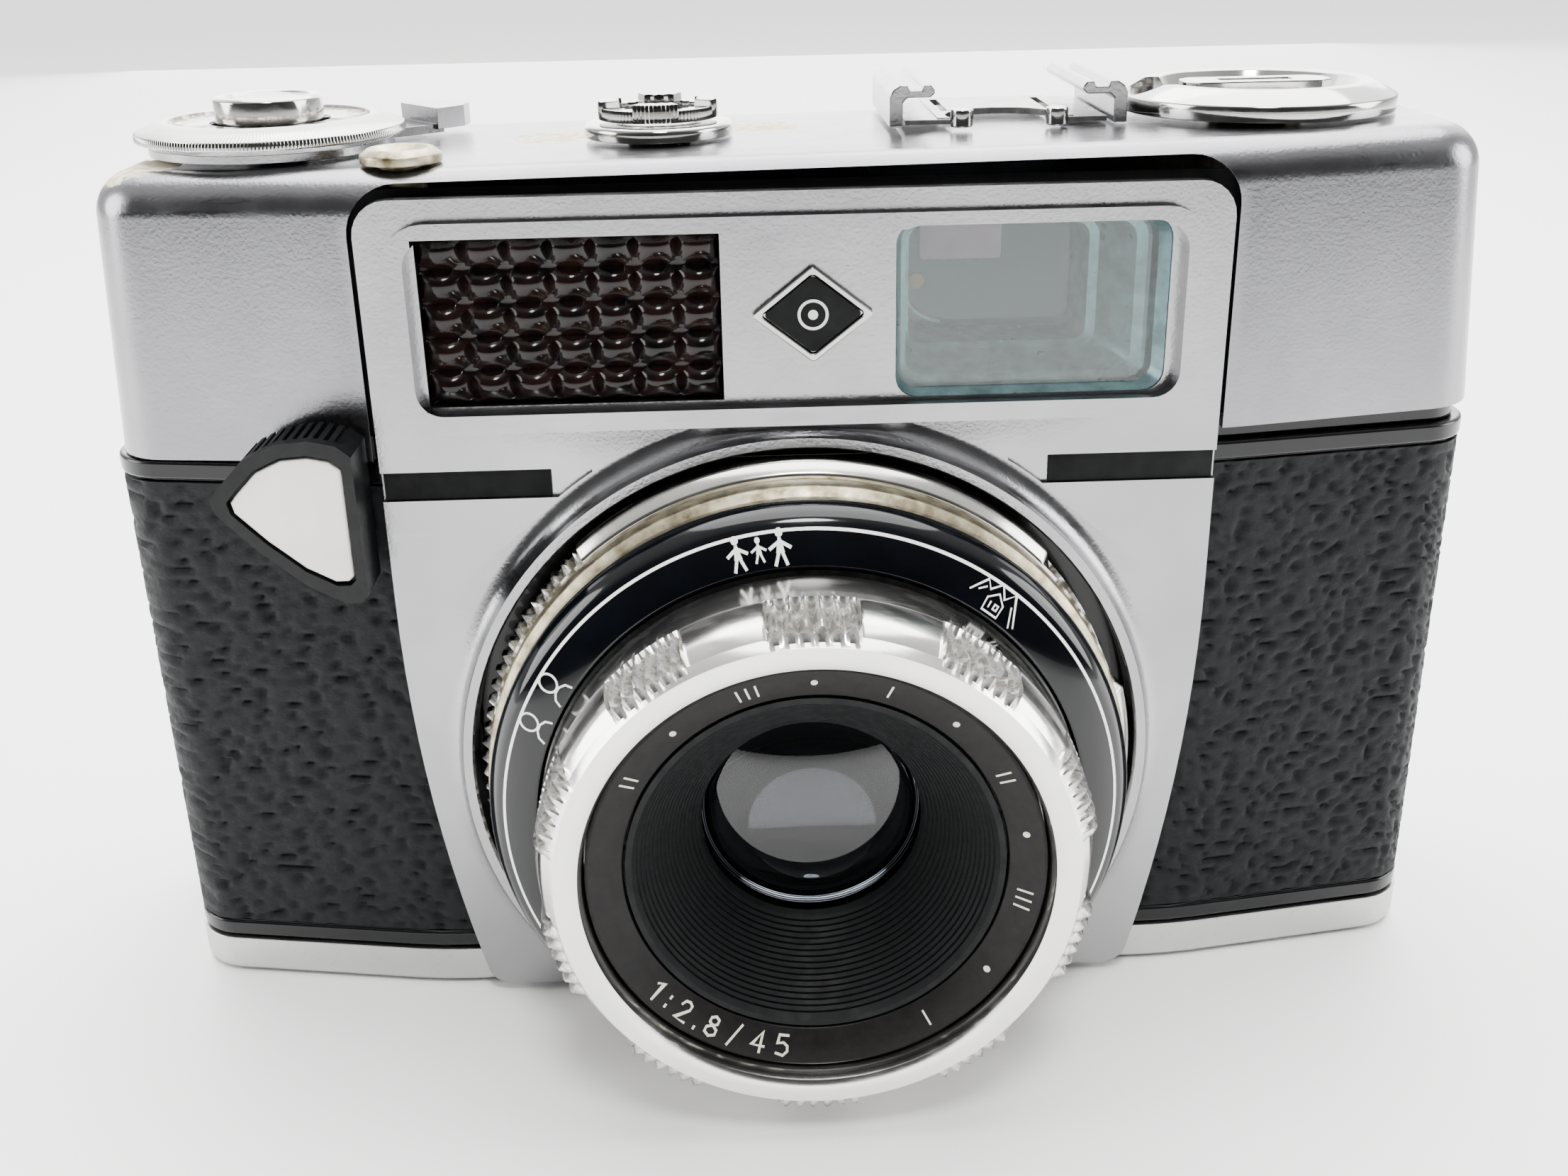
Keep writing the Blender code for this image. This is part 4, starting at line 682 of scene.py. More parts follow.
class CAMERA_OT_cover(PieceOperator):
    """Makes the pressed top cover, with its rolled edge and the cut-out for the trim"""

    bl_idname = "camera.cover"
    bl_label = "Top cover"

    def build(self, sizes, colours):
        foot, roll = 55.1, sizes.sheet_roll / MM
        outer = plan_block(-0.7, foot, COVER_TOP, pull=1.0, shift=0.3)
        round_edges(outer, lambda e: all(abs(v.co.z - COVER_TOP) < 1e-4 for v in e.verts), roll, 10)
        lean(outer, foot)
        inner = plan_block(0.3, foot - 6.0, COVER_TOP - 1.0, pull=1.0, shift=0.3)
        round_edges(
            inner, lambda e: all(abs(v.co.z - COVER_TOP + 1.0) < 1e-4 for v in e.verts), roll - 0.9, 5
        )
        lean(inner, foot)
        half, top = TRIM_HALF + 0.75, COVER_TOP - 1.0
        window = extruded(
            [(-half, foot - 5), (half, foot - 5), (half, top), (-half, top)], FRONT - 5, FRONT + 4, "Y"
        )
        round_edges(window, along("Y", lambda p: p.z > foot), 4.2, 8)
        for vertex in window.verts:
            vertex.co.z += TILT * vertex.co.x
        low, high = span("finder_eye_lens")
        eyepiece = box((low.x - 1.0, high.x + 1.0), (BACK - 5, BACK + 5), (low.z - 1.0, high.z + 1.0))
        shell = carve(outer, "DIFFERENCE", inner, window, eyepiece)
        make(
            "cover_shell", shell, finish_of("Cover chrome"), "camera", ["top_cover"], 0.22, 2
        )
        # A flat black sheet behind the trim: painted shade for the gap under the cover's cut-out.
        gap_shade_sheet = box((-half - 1, half + 1), (FRONT + 1.35, FRONT + 1.7), (foot + 0.5, top - 1.0))
        keep_out = box((FINDER_LOW.x, FINDER_HIGH.x), (FRONT, FRONT + 6), (FINDER_LOW.z, FINDER_HIGH.z))
        gap_shade_sheet = carve(gap_shade_sheet, "DIFFERENCE", keep_out)
        make("cover_gap_shade", gap_shade_sheet, finish_of("Flat black"), "camera")
        for side in ("left", "right"):
            head = middle(f"cover_screw_{side}")
            out = -1 if side == "left" else 1
            face = span(f"cover_screw_{side}")[0 if out < 0 else 1].x
            screw = lathe(
                softened([(0, 0), (1.8, 0), (1.8, 0.35), (1.1, 0.6), (0, 0.7)], 0.15), (0.0, 0.0), "Z", 48
            )
            slot = box((-2.0, 2.0), (-0.22, 0.22), (0.38, 1.0))
            screw = carve(screw, "DIFFERENCE", slot)
            bmesh.ops.rotate(
                screw, cent=(0, 0, 0), matrix=Matrix.Rotation(out * math.pi / 2, 3, "Y"), verts=screw.verts
            )
            bmesh.ops.translate(screw, vec=(face - out * 0.7, head.y, head.z), verts=screw.verts)
            make(
                f"cover_screw_head_{side}", screw, finish_of("Steel"), "camera",
                [f"cover_screw_{side}"]
            )


class CAMERA_OT_base(PieceOperator):
    """Makes the bottom cover"""

    bl_idname = "camera.base"
    bl_label = "Base plate"

    def build(self, sizes, colours):
        tray = plan_block(-0.2, 0.0, BASE_TOP)
        round_edges(tray, lambda e: all(v.co.z < 1e-4 for v in e.verts), 0.9, 5)
        inner = plan_block(0.7, 0.9, BASE_TOP + 2)
        hole = middle("tripod_bush")
        bore = lathe([(0, -2), (4.2, -2), (4.2, 3), (0, 3)], (hole.x, hole.y), "Z", 64)
        holes = []
        for side in ("left", "right"):
            screw = middle(f"base_screw_{side}")
            holes.append(lathe([(0, -2), (1.2, -2), (1.2, 3), (0, 3)], (screw.x, screw.y), "Z", 32))
        tray = carve(tray, "DIFFERENCE", inner, bore, *holes)
        make("base_tray", tray, finish_of("Base chrome"), "camera", ["base_plate"], 0.15, 2)


class CAMERA_OT_borders(PieceOperator):
    """Makes the smooth enamelled borders of the body, above and below the leather"""

    bl_idname = "camera.borders"
    bl_label = "Body borders"

    def build(self, sizes, colours):
        bands = {
            "low": (BASE_TOP + 0.25, LEATHER_FOOT - 0.25, -0.05),
            "high": (LEATHER_TOP + 0.25, LEATHER_TOP + 2.0, -0.12)
        }
        bands["neck"] = (LEATHER_TOP + 2.0, 56.5, 0.75)
        split = middle("hinge_pin").y - 0.7
        for name, (low, high, inset) in bands.items():
            band = plan_block(inset, low, high)
            hollow = plan_block(inset + 1.6, low - 1, high + 1)
            rear = box((-90, 90), (split, 40), (low - 2, high + 2))
            stem_top = span("release_lever")[1].z
            slot = box((-42.2, -39.0), (FRONT - 3, FRONT + 3), (stem_top - 18, 51.0))
            band = carve(band, "DIFFERENCE", hollow, rear, slot)
            make(f"border_{name}", band, finish_of("Black enamel"), "camera", (), 0.35, 3)


def leather_height(point):
    """Pressed grain: long low pits that run across, with a little waviness between them."""
    x, y, z = point
    run = x + y
    warp = noise.noise(Vector((run / 6.0, z / 6.0, 3.0))) * 1.2
    pits = noise.noise(Vector((run / 1.25 + warp, z / 0.60 + warp * 0.6, 7.0)))
    small = noise.noise(Vector((run / 0.9, z / 0.5, 11.0)))
    depth = max(0.0, -pits - 0.05) * 2.4
    return min(depth, 1.0), small


class CAMERA_OT_leather(PieceOperator):
    """Makes the leather coverings of the front and the back"""

    bl_idname = "camera.leather"
    bl_label = "Leather"

    def build(self, sizes, colours):
        step, pit = sizes.leather_step / MM, sizes.leather_pit / MM
        end = span("leather_left")[1].y
        for side in ("left", "right"):
            sign = -1 if side == "left" else 1
            bm = plan_block(0.0, LEATHER_FOOT, LEATHER_TOP, steps=10)
            caps = [f for f in bm.faces if abs(f.normal.z) > 0.9]
            bmesh.ops.delete(bm, geom=caps, context="FACES")
            for place, way in (((sign * 30.0, 0, 0), (-sign, 0, 0)), ((0, end, 0), (0, 1, 0))):
                bmesh.ops.bisect_plane(
                    bm, geom=bm.verts[:] + bm.edges[:] + bm.faces[:],
                    plane_co=place, plane_no=way, clear_outer=True
                )
            self.skin(bm, f"leather_panel_{side}", f"leather_{side}", "camera", step, pit)
        low, high = span("door_leather")
        bm = polygon([(low.x, low.z), (high.x, low.z), (high.x, high.z), (low.x, high.z)], "Y", high.y)
        bmesh.ops.recalc_face_normals(bm, faces=bm.faces)
        if bm.faces[0].normal.y < 0:
            bmesh.ops.reverse_faces(bm, faces=bm.faces[:])
        self.skin(bm, "leather_panel_back", "door_leather", "door", step * 1.5, pit)

    def skin(self, bm, name, node, body, step, pit):
        """Divides a sheet into small squares, presses the grain into it and gives it a thickness."""
        upright = [e for e in bm.edges if abs(e.verts[0].co.z - e.verts[1].co.z) > 10]
        bmesh.ops.subdivide_edges(
            bm, edges=upright, cuts=int(upright[0].calc_length() / step), use_grid_fill=True
        )
        runs = {}
        for edge in bm.edges:
            a, b = edge.verts
            if abs(a.co.z - b.co.z) < 1e-3:
                key = tuple(
                    sorted(((round(a.co.x, 2), round(a.co.y, 2)), (round(b.co.x, 2), round(b.co.y, 2))))
                )
                runs.setdefault(key, []).append(edge)
        for edges in list(runs.values()):
            cuts = int(edges[0].calc_length() / step)
            if cuts:
                bmesh.ops.subdivide_edges(bm, edges=edges, cuts=cuts, use_grid_fill=True)
        bm.normal_update()
        # The pit attribute holds how deep each point lies in a pit; the leather's colour darkens with it as
        # painted shade.
        layer = bm.verts.layers.float.new("pit")
        moves = []
        for vertex in bm.verts:
            deep, small = leather_height(vertex.co)
            fade = 0.3 if vertex.is_boundary else 1.0
            vertex[layer] = deep * fade
            moves.append(vertex.normal * (0.04 * small - pit * deep) * fade)
        for vertex, move in zip(bm.verts, moves):
            vertex.co += move
        bm.normal_update()
        inward = {tuple(round(c, 3) for c in v.co): v.normal.copy() for v in bm.verts if v.is_boundary}
        rim = [e for e in bm.edges if e.is_boundary]
        walls = bmesh.ops.extrude_edge_only(bm, edges=rim)
        for vertex in (v for v in walls["geom"] if isinstance(v, bmesh.types.BMVert)):
            vertex.co -= inward[tuple(round(c, 3) for c in vertex.co)] * 0.7
        make(name, bm, finish_of("Leathercloth"), body, [node], smooth=60)


class CAMERA_OT_trim(PieceOperator):
    """Makes the pressed front trim, with the window rim, the badge and the collar round the lens"""

    bl_idname = "camera.trim"
    bl_label = "Front trim"

    def build(self, sizes, colours):
        face = BADGE.y + 0.05
        back, rim_low, rim_top, rim_half = TRIM_HIGH.y, 57.6, 75.3, 33.9
        plate = extruded(trim_outline(), face, back, "Y")
        round_edges(plate, along("Y", lambda p: p.z > 60), 3.0, 6)
        round_edges(plate, along("Y", lambda p: p.z < 5), 3.0, 6)
        rim = self.frame_box((-rim_half, rim_half), (rim_low, rim_top), (face - 1.1, face + 0.5), 3.6)
        flare = [
            (COLLAR_OUT - 2.6 * math.sin(a), face + 0.1 - 2.3 * (1 - math.cos(a)))
            for a in [math.pi / 2 * i / 8 for i in range(9)]
        ]
        collar = lens_lathe(
            [
                *flare, (30.5, face - 2.15), (COLLAR_BORE, face - 1.9), (COLLAR_BORE, back),
                (COLLAR_OUT, back),
            ],
            128,
        )
        collar = carve(collar, "INTERSECT", box((-40, 40), (face - 5, back + 1), (TRIM_LOW.z, rim_low + 1.2)))
        hole = [(0, face - 6), (COLLAR_BORE, face - 6), (COLLAR_BORE, back + 2), (0, back + 2)]
        bore = lens_lathe(hole, 128)
        plate = carve(plate, "UNION", rim)
        plate = carve(plate, "DIFFERENCE", bore)
        plate = carve(plate, "UNION", collar)
        well = self.frame_box(
            (-rim_half + 1.7, rim_half - 1.7), (rim_low + 1.6, rim_top - 1.4), (face - 3, face + 0.45), 2.2
        )
        meter = box((-31.4, -6.4), (face - 3, back + 2), (59.6, 74.0))
        finder = self.frame_box((8.2, 31.2), (59.4, 74.2), (face - 3, back + 2), 1.8)
        cuts = [well, meter, finder]
        for sign in (-1, 1):
            reach = sorted((sign * 18.0, sign * 40.0))
            cuts.append(box(reach, (face - 3, face + 0.55), (GROOVE_LOW, GROOVE_HIGH)))
        outside = lens_lathe([(0, face - 6), (33.4, face - 6), (33.4, back + 3), (0, back + 3)], 128)
        cuts[3:] = [carve(bar, "DIFFERENCE", self.copy_of(outside)) for bar in cuts[3:]]
        outside.free()
        plate = carve(plate, "DIFFERENCE", *cuts)
        make("trim_plate", plate, finish_of("Trim chrome"), "camera", ["front_trim"], 0.3, 3)
        for name, sign in (("left", -1), ("right", 1)):
            reach = sorted((sign * 21.6, sign * 36.0))
            strip = box(reach, (face + 0.30, face + 0.6), (GROOVE_LOW + 0.1, GROOVE_HIGH - 0.1))
            make(f"trim_groove_{name}", strip, finish_of("Flat black"), "camera")
        self.badge()

    def frame_box(self, x, z, y, corner):
        bm = extruded([(x[0], z[0]), (x[1], z[0]), (x[1], z[1]), (x[0], z[1])], y[0], y[1], "Y")
        round_edges(bm, along("Y"), corner, 6)
        return bm

    def copy_of(self, bm):
        return bm.copy()

    def badge(self):
        low, high = span("badge")
        mid, half, tall = BADGE, (high.x - low.x) / 2, (high.z - low.z) / 2

        def lozenge(share, y0, y1):
            spots = [(1, 0), (0, 1), (-1, 0), (0, -1)]
            bm = extruded(
                [(mid.x + half * share * a, mid.z + tall * share * b) for a, b in spots], y0, y1, "Y"
            )
            round_edges(bm, along("Y"), 0.35, 3)
            return bm

        rim = carve(lozenge(1.0, low.y, high.y), "DIFFERENCE", lozenge(0.84, low.y - 1, low.y + 0.3))
        make("badge_rim", rim, finish_of("Polished chrome"), "camera", ["badge"], 0.12, 2)
        field = lozenge(0.80, low.y + 0.12, low.y + 0.34)
        make("badge_field", field, finish_of("Flat black"), "camera", bevel=0.04)
        circle = lathe(
            [(1.05, low.y + 0.04), (1.3, low.y + 0.04), (1.3, low.y + 0.2), (1.05, low.y + 0.2)],
            (mid.x, mid.z), "Y", 48
        )
        make("badge_circle", circle, finish_of("Polished chrome"), "camera")
        dot = lathe(
            [(0, low.y + 0.04), (0.42, low.y + 0.04), (0.42, low.y + 0.2), (0, low.y + 0.2)], (mid.x, mid.z),
            "Y", 32
        )
        make("badge_dot", dot, finish_of("Polished chrome"), "camera")


class CAMERA_OT_windows(PieceOperator):
    """Makes the honeycomb window of the light meter, and the finder window with its stepped tunnel"""

    bl_idname = "camera.windows"
    bl_label = "Windows"

    def build(self, sizes, colours):
        self.honeycomb()
        self.finder()

    def honeycomb(self):
        columns, rows, each = 7, 5, 8
        x0, x1, z0, z1 = -31.35, -6.45, 59.65, 73.95
        top = -17.55
        bm = bmesh.new()
        grid = [[None] * (rows * each + 1) for _ in range(columns * each + 1)]
        for i in range(columns * each + 1):
            for k in range(rows * each + 1):
                u, v = i / each, k / each
                across, up = abs(math.sin(math.pi * u)), abs(math.sin(math.pi * v))
                dome = (across**0.7) * (up**0.7)
                tilt = 0.10 * math.sin(2 * math.pi * v)
                y = top + 0.95 - 1.1 * dome + tilt * across
                grid[i][k] = bm.verts.new((x0 + (x1 - x0) * u / columns, y, z0 + (z1 - z0) * v / rows))
        for i in range(columns * each):
            for k in range(rows * each):
                bm.faces.new((grid[i][k], grid[i + 1][k], grid[i + 1][k + 1], grid[i][k + 1]))
        skirt = bmesh.ops.extrude_edge_only(bm, edges=[e for e in bm.edges if e.is_boundary])
        for vertex in (v for v in skirt["geom"] if isinstance(v, bmesh.types.BMVert)):
            vertex.co.y = -15.2
        bmesh.ops.contextual_create(bm, geom=[e for e in bm.edges if e.is_boundary])
        face_out(bm)
        make(
            "meter_honeycomb", bm, finish_of("Honeycomb plastic"), "camera", ["meter_window"],
            smooth=50
        )

    def finder(self):
        stations = [
            (-17.5, 8.25, 31.15, 59.45, 74.15, 1.8),
            (-15.6, 8.8, 29.6, 60.3, 73.9, 1.6),
            (-15.4, 9.2, 28.7, 60.8, 73.6, 1.6),
            (-12.2, 9.4, 26.2, 62.1, 73.2, 1.4),
            (-12.0, 9.8, 25.4, 62.7, 72.9, 1.2),
            (-8.0, 10.2, 24.6, 63.2, 72.4, 1.2),
        ]
        bm = bmesh.new()
        loops = []
        for y, a, b, low, high, corner in stations:
            loops.append([bm.verts.new((x, y, z)) for x, z in self.rounded(a, b, low, high, corner)])
        count = len(loops[0])
        for first, second in zip(loops, loops[1:]):
            for i in range(count):
                j = (i + 1) % count
                bm.faces.new((first[i], first[j], second[j], second[i]))
        bmesh.ops.recalc_face_normals(bm, faces=bm.faces)
        if bm.faces[0].normal.dot(Vector((20, 0, 66)) - bm.faces[0].calc_center_median()) < 0:
            bmesh.ops.reverse_faces(bm, faces=bm.faces[:])
        bmesh.ops.solidify(bm, geom=bm.faces[:], thickness=-0.3)
        make(
            "finder_mask", bm, finish_of("Finder mask"), "camera", ["finder_tunnel"],
            smooth=30
        )
        pane = extruded(self.rounded(8.4, 31.0, 59.6, 74.0, 1.7), -16.5, -15.9, "Y")
        make(
            "finder_pane", pane, finish_of("Finder glass"), "camera", ["finder_window"], 0.1,
            2
        )
        # A dark plate in place of the finder's front lens: painted shade deep inside the tunnel.
        back = box((9.6, 25.6), (-7.8, -7.2), (62.6, 73.0))
        make("finder_painted_shade", back, finish_of("Finder dark"), "camera", ["finder_front_lens"])
        # Painted reflections seen through the finder window: a pink patch, a tan glint and a pale arc, as
        # flat colour on plates at the back of the tunnel.
        mirror = extruded(self.rounded(11.2, 18.4, 69.2, 72.6, 0.3), -8.05, -7.9, "Y")
        make("finder_pink_reflection", mirror, finish_of("Finder pink"), "camera")
        tan = lathe([(0, -8.05), (0.7, -8.05), (0.7, -7.9), (0, -7.9)], (10.9, 67.3), "Y", 24)
        make("finder_tan_glint", tan, finish_of("Finder tan"), "camera")
        arc = [
            (9.9 + 5.2 * (1 - math.cos(a)) * 0.8, 66.4 - 3.2 * math.sin(a) * 0.9)
            for a in [0.1 * i for i in range(14)]
        ]
        bow = ribbon([arc], 0.28, lambda u, v: Vector((u, -7.95, v)), Vector((0, -1, 0)), 0.06)
        make("finder_reflection_arc", bow, finish_of("Finder glow"), "camera")

    def rounded(self, a, b, low, high, corner, steps=5):
        made = []
        corners = (
            (b - corner, low + corner, -90), (b - corner, high - corner, 0), (a + corner, high - corner, 90),
            (a + corner, low + corner, 180)
        )
        for x, z, first in corners:
            for i in range(steps + 1):
                angle = math.radians(first + 90 * i / steps)
                made.append((x + corner * math.cos(angle), z + corner * math.sin(angle)))
        return made


def ribbon(paths, width, place, up, thick):
    """Strokes of one width laid on a surface. place gives a point for (u, v), and up its normal."""
    bm = bmesh.new()
    for path in paths:
        points = [Vector(p) for p in path]
        rows = []
        for i, point in enumerate(points):
            before, after = points[max(i - 1, 0)], points[min(i + 1, len(points) - 1)]
            step = (after - before).normalized()
            side = Vector((-step.y, step.x)) * width / 2
            if i in (0, len(points) - 1):
                point = point + step * (width / 2) * (1 if i else -1)
            elif (points[i] - before).length > 0 and (after - points[i]).length > 0:
                bend = (points[i] - before).normalized().dot((after - points[i]).normalized())
                side = side / max(0.5, math.sqrt(max(0.0, (1 + bend) / 2)))
            row = []
            for offset in (side, -side):
                spot = place(*(point + offset))
                normal = up(*(point + offset)) if callable(up) else up
                row.append((bm.verts.new(spot + normal * thick), bm.verts.new(spot - normal * thick)))
            rows.append(row)
        for (a, b), (c, d) in zip(rows, rows[1:]):
            for quad in (
                (a[0], b[0], d[0], c[0]), (a[1], c[1], d[1], b[1]), (a[0], c[0], c[1], a[1]),
                (b[0], b[1], d[1], d[0])
            ):
                bm.faces.new(quad)
        for (a, b), flip in ((rows[0], False), (rows[-1], True)):
            quad = (a[0], a[1], b[1], b[0])
            bm.faces.new(quad[::-1] if flip else quad)
    bmesh.ops.recalc_face_normals(bm, faces=bm.faces)
    return bm


def filled(outline, place, up, thick):
    """A flat patch laid on a surface, from its outline in (u, v)."""
    bm = bmesh.new()
    top = [bm.verts.new(place(u, v) + up(u, v) * thick) for u, v in outline]
    foot = [bm.verts.new(place(u, v) - up(u, v) * thick) for u, v in outline]
    bm.faces.new(top)
    bm.faces.new(foot[::-1])
    for i in range(len(top)):
        j = (i + 1) % len(top)
        bm.faces.new((top[i], foot[i], foot[j], top[j]))
    bmesh.ops.recalc_face_normals(bm, faces=bm.faces)
    return bm


def joined(*parts):
    """Several shapes in one bmesh."""
    whole = bmesh.new()
    for part in parts:
        mesh = bpy.data.meshes.new("part")
        part.to_mesh(mesh)
        part.free()
        whole.from_mesh(mesh)
        bpy.data.meshes.remove(mesh)
    return whole


def on_cone(degrees, radius, slope_low, slope_high):
    """Maps (u right, v up) round a clock position to a cone face between two (radius, y) rings."""
    (r0, y0), (r1, y1) = slope_low, slope_high

    def place(u, v):
        r = radius + v
        angle = math.radians(degrees) + u / radius
        y = y0 + (y1 - y0) * (r - r0) / (r1 - r0)
        return Vector((LENS_X + r * math.sin(angle), y, LENS_Z + r * math.cos(angle)))

    def up(u, v):
        angle = math.radians(degrees) + u / radius
        lean = Vector((y1 - y0, -(r1 - r0))).normalized() * (1 if r1 > r0 else -1)
        out = Vector((math.sin(angle), 0, math.cos(angle)))
        return (out * lean.x + Vector((0, 1, 0)) * lean.y).normalized()

    return place, up


STROKES = {
    "1": [[(-0.25, 0.28), (0.05, 0.5), (0.05, -0.5)]],
    ":": [[(0, 0.2), (0, 0.12)], [(0, -0.3), (0, -0.38)]],
    ".": [[(0, -0.42), (0, -0.5)]],
    "/": [[(-0.25, -0.55), (0.25, 0.55)]],
    "-": [[(-0.22, 0.0), (0.22, 0.0)]],
    "2": [[(-0.3, 0.25), (-0.2, 0.45), (0.05, 0.5), (0.27, 0.38), (0.28, 0.15), (-0.3, -0.5), (0.32, -0.5)]],
    "4": [[(0.16, -0.5), (0.16, 0.5), (-0.32, -0.2), (0.34, -0.2)]],
    "5": [
        [
            (0.28, 0.5), (-0.22, 0.5), (-0.27, 0.08), (0.05, 0.14),
            (0.28, -0.02), (0.3, -0.28), (0.08, -0.5), (-0.28, -0.42),
        ]
    ],
    "8": [
        [(0, 0.04), (-0.24, 0.16), (-0.24, 0.38), (0, 0.5), (0.24, 0.38), (0.24, 0.16), (0, 0.04)],
        [(0, 0.04), (-0.3, -0.12), (-0.3, -0.36), (0, -0.5), (0.3, -0.36), (0.3, -0.12), (0, 0.04)],
    ],
}


class CAMERA_OT_rings(PieceOperator):
    """Makes the setting ring, the brass ring and the black ring with its three distance symbols"""

    bl_idname = "camera.rings"
    bl_label = "Lens rings"

    def build(self, sizes, colours):
        inner = 25.4
        front, back, r = SETTING_LOW.y, SETTING_HIGH.y, SETTING_HIGH.x
        profile = softened(
            [
                (inner, back), (r - 0.6, back), (r - 0.6, back - 0.9), (r, back - 1.0), (r, front + 1.1),
                (r - 0.9, front), (inner, front)
            ],
            0.2
        )
        ring = lens_lathe(profile, 720)
        for vertex in ring.verts:
            at, out = clock(vertex.co), math.hypot(vertex.co.x - LENS_X, vertex.co.z - LENS_Z)
            if out < r - 0.8:
                continue
            if 238 < at < 318:
                pull_in(vertex, 1.15 * (1 - saw(at / 2.9)), (LENS_X, LENS_Z), "Y")
            elif (at > 330 or at < 42) and vertex.co.y > back - 1.2:
                pull_in(vertex, 0.3 * (1 - saw(at / 1.0)), (LENS_X, LENS_Z), "Y")
            elif 46 < at < 76:
                pull_in(vertex, 1.1 * min(1.0, (at - 46) / 3, (76 - at) / 3), (LENS_X, LENS_Z), "Y")
        ring = carve(ring, "DIFFERENCE", box((-40, 40), (-30, -10), (-20, SETTING_LOW.z + 0.3)))
        obj = make(
            "setting_toothed_ring", ring, finish_of("Setting chrome"), "setting",
            ["setting_ring"]
        )
        paint(
            obj, "grime",
            lambda p: 1.0 if 50 < clock(p) < 74 or (
                238 < clock(p) < 318 and math.hypot(p.x - LENS_X, p.z - LENS_Z) < r - 0.6
            ) else 0.0
        )
        flat = lambda: box((-40, 40), (-45, -10), (-20, BRASS_LOW.z))
        r = BRASS_HIGH.x
        brass = lens_lathe(
            softened(
                [
                    (inner, BRASS_HIGH.y), (r - 0.3, BRASS_HIGH.y), (r, BRASS_HIGH.y - 0.4),
                    (r, BRASS_LOW.y + 0.8), (r - 0.9, BRASS_LOW.y), (inner, BRASS_LOW.y)
                ],
                0.15
            ),
            160
        )
        obj = make(
            "brass_collar", carve(brass, "DIFFERENCE", flat()), finish_of("Worn brass"), "camera",
            ["brass_ring"]
        )
        r, back, face = SYMBOL_HIGH.x, SYMBOL_HIGH.y, SYMBOL_LOW.y + 1.6
        edge, mouth = r - 1.0, 23.7
        profile = [
            (inner, back), (r, back), (r, face + 1.5), (r - 0.55, face + 0.5), (edge, face),
            (mouth, face - 1.6), (mouth - 0.4, face - 1.4), (mouth - 0.4, face + 0.7),
            (inner - 1.9, face + 0.7), (inner - 1.9, back)
        ]
        black = lens_lathe(softened(profile[:-3] + [(mouth - 0.4, back)], 0.18), 200)
        make(
            "symbol_face", carve(black, "DIFFERENCE", flat()), finish_of("Ring lacquer"), "camera",
            ["symbol_ring"]
        )
        low, high = (mouth, face - 1.6), (edge, face)
        line = [
            (edge - 0.62, face - 0.32), (edge - 0.30, face - 0.14), (edge - 0.2, face + 0.1),
            (edge - 0.62, face + 0.1)
        ]
        white = carve(lens_lathe(line, 200), "DIFFERENCE", flat())
        make("symbol_line", white, finish_of("White fill"), "camera")
        marks = self.people(low, high) + self.mountains(low, high) + self.heads(low, high)
        make("symbols", joined(*marks), finish_of("White fill"), "camera")

    def people(self, low, high):
        made = []
        for shift, size in ((-1.75, 1.0), (0.0, 0.72), (1.75, 1.05)):
            place, up = on_cone(351, 25.2, low, high)
            strokes = [
                [(0, 0.1), (0, 0.55)], [(0, 0.45), (-0.75, 0.05)], [(0, 0.45), (0.75, 0.05)],
                [(0, 0.1), (-0.45, -0.95)], [(0, 0.1), (0.45, -0.95)],
            ]
            moved = [[(shift + u * size, v * size * 1.15) for u, v in path] for path in strokes]
            made.append(ribbon(moved, 0.26 * size, place, up, 0.03))
            head = [
                (shift + 0.3 * size * math.cos(a), (0.98 + 0.3 * math.sin(a)) * size * 1.15)
                for a in [math.tau * i / 10 for i in range(10)]
            ]
            made.append(filled(head, place, up, 0.03))
            body = [
                (shift - 0.34 * size, -0.3 * size), (shift + 0.34 * size, -0.3 * size),
                (shift + 0.14 * size, 0.6 * size), (shift - 0.14 * size, 0.6 * size)
            ]
            made.append(filled(body, place, up, 0.03))
        return made

    def mountains(self, low, high):
        place, up = on_cone(38, 25.2, low, high)
        ridge = [
            [(-2.6, -0.2), (-1.5, 1.1), (-1.0, 0.5), (-0.2, 1.3), (0.5, 0.4), (1.2, 1.2), (2.5, -0.9)],
            [(1.4, 0.2), (2.1, -1.1)], [(-1.9, 0.1), (-1.4, 0.5)]
        ]
        house = [
            [(-0.9, -0.1), (-0.9, -1.1), (0.7, -1.1), (0.7, -0.1), (-0.1, 0.55), (-0.9, -0.1)],
            [(-0.45, -0.3), (-0.45, -0.7)],
            [(0.0, -0.3), (0.35, -0.3), (0.35, -0.7), (0.0, -0.7), (0.0, -0.3)]
        ]
        return [ribbon(ridge + house, 0.13, place, up, 0.03)]

    def heads(self, low, high):
        made = []
        for degrees in (293, 302):
            place, up = on_cone(degrees, 25.2, low, high)
            head = [
                (0.72 * math.cos(a), 0.45 + 0.8 * math.sin(a)) for a in [math.tau * i / 20 for i in range(21)]
            ]
            shoulders = [
                (-1.05, -1.25), (-0.85, -0.75), (-0.3, -0.45), (0.3, -0.45), (0.85, -0.75), (1.05, -1.25)
            ]
            made.append(ribbon([head, shoulders], 0.17, place, up, 0.05))
        return made


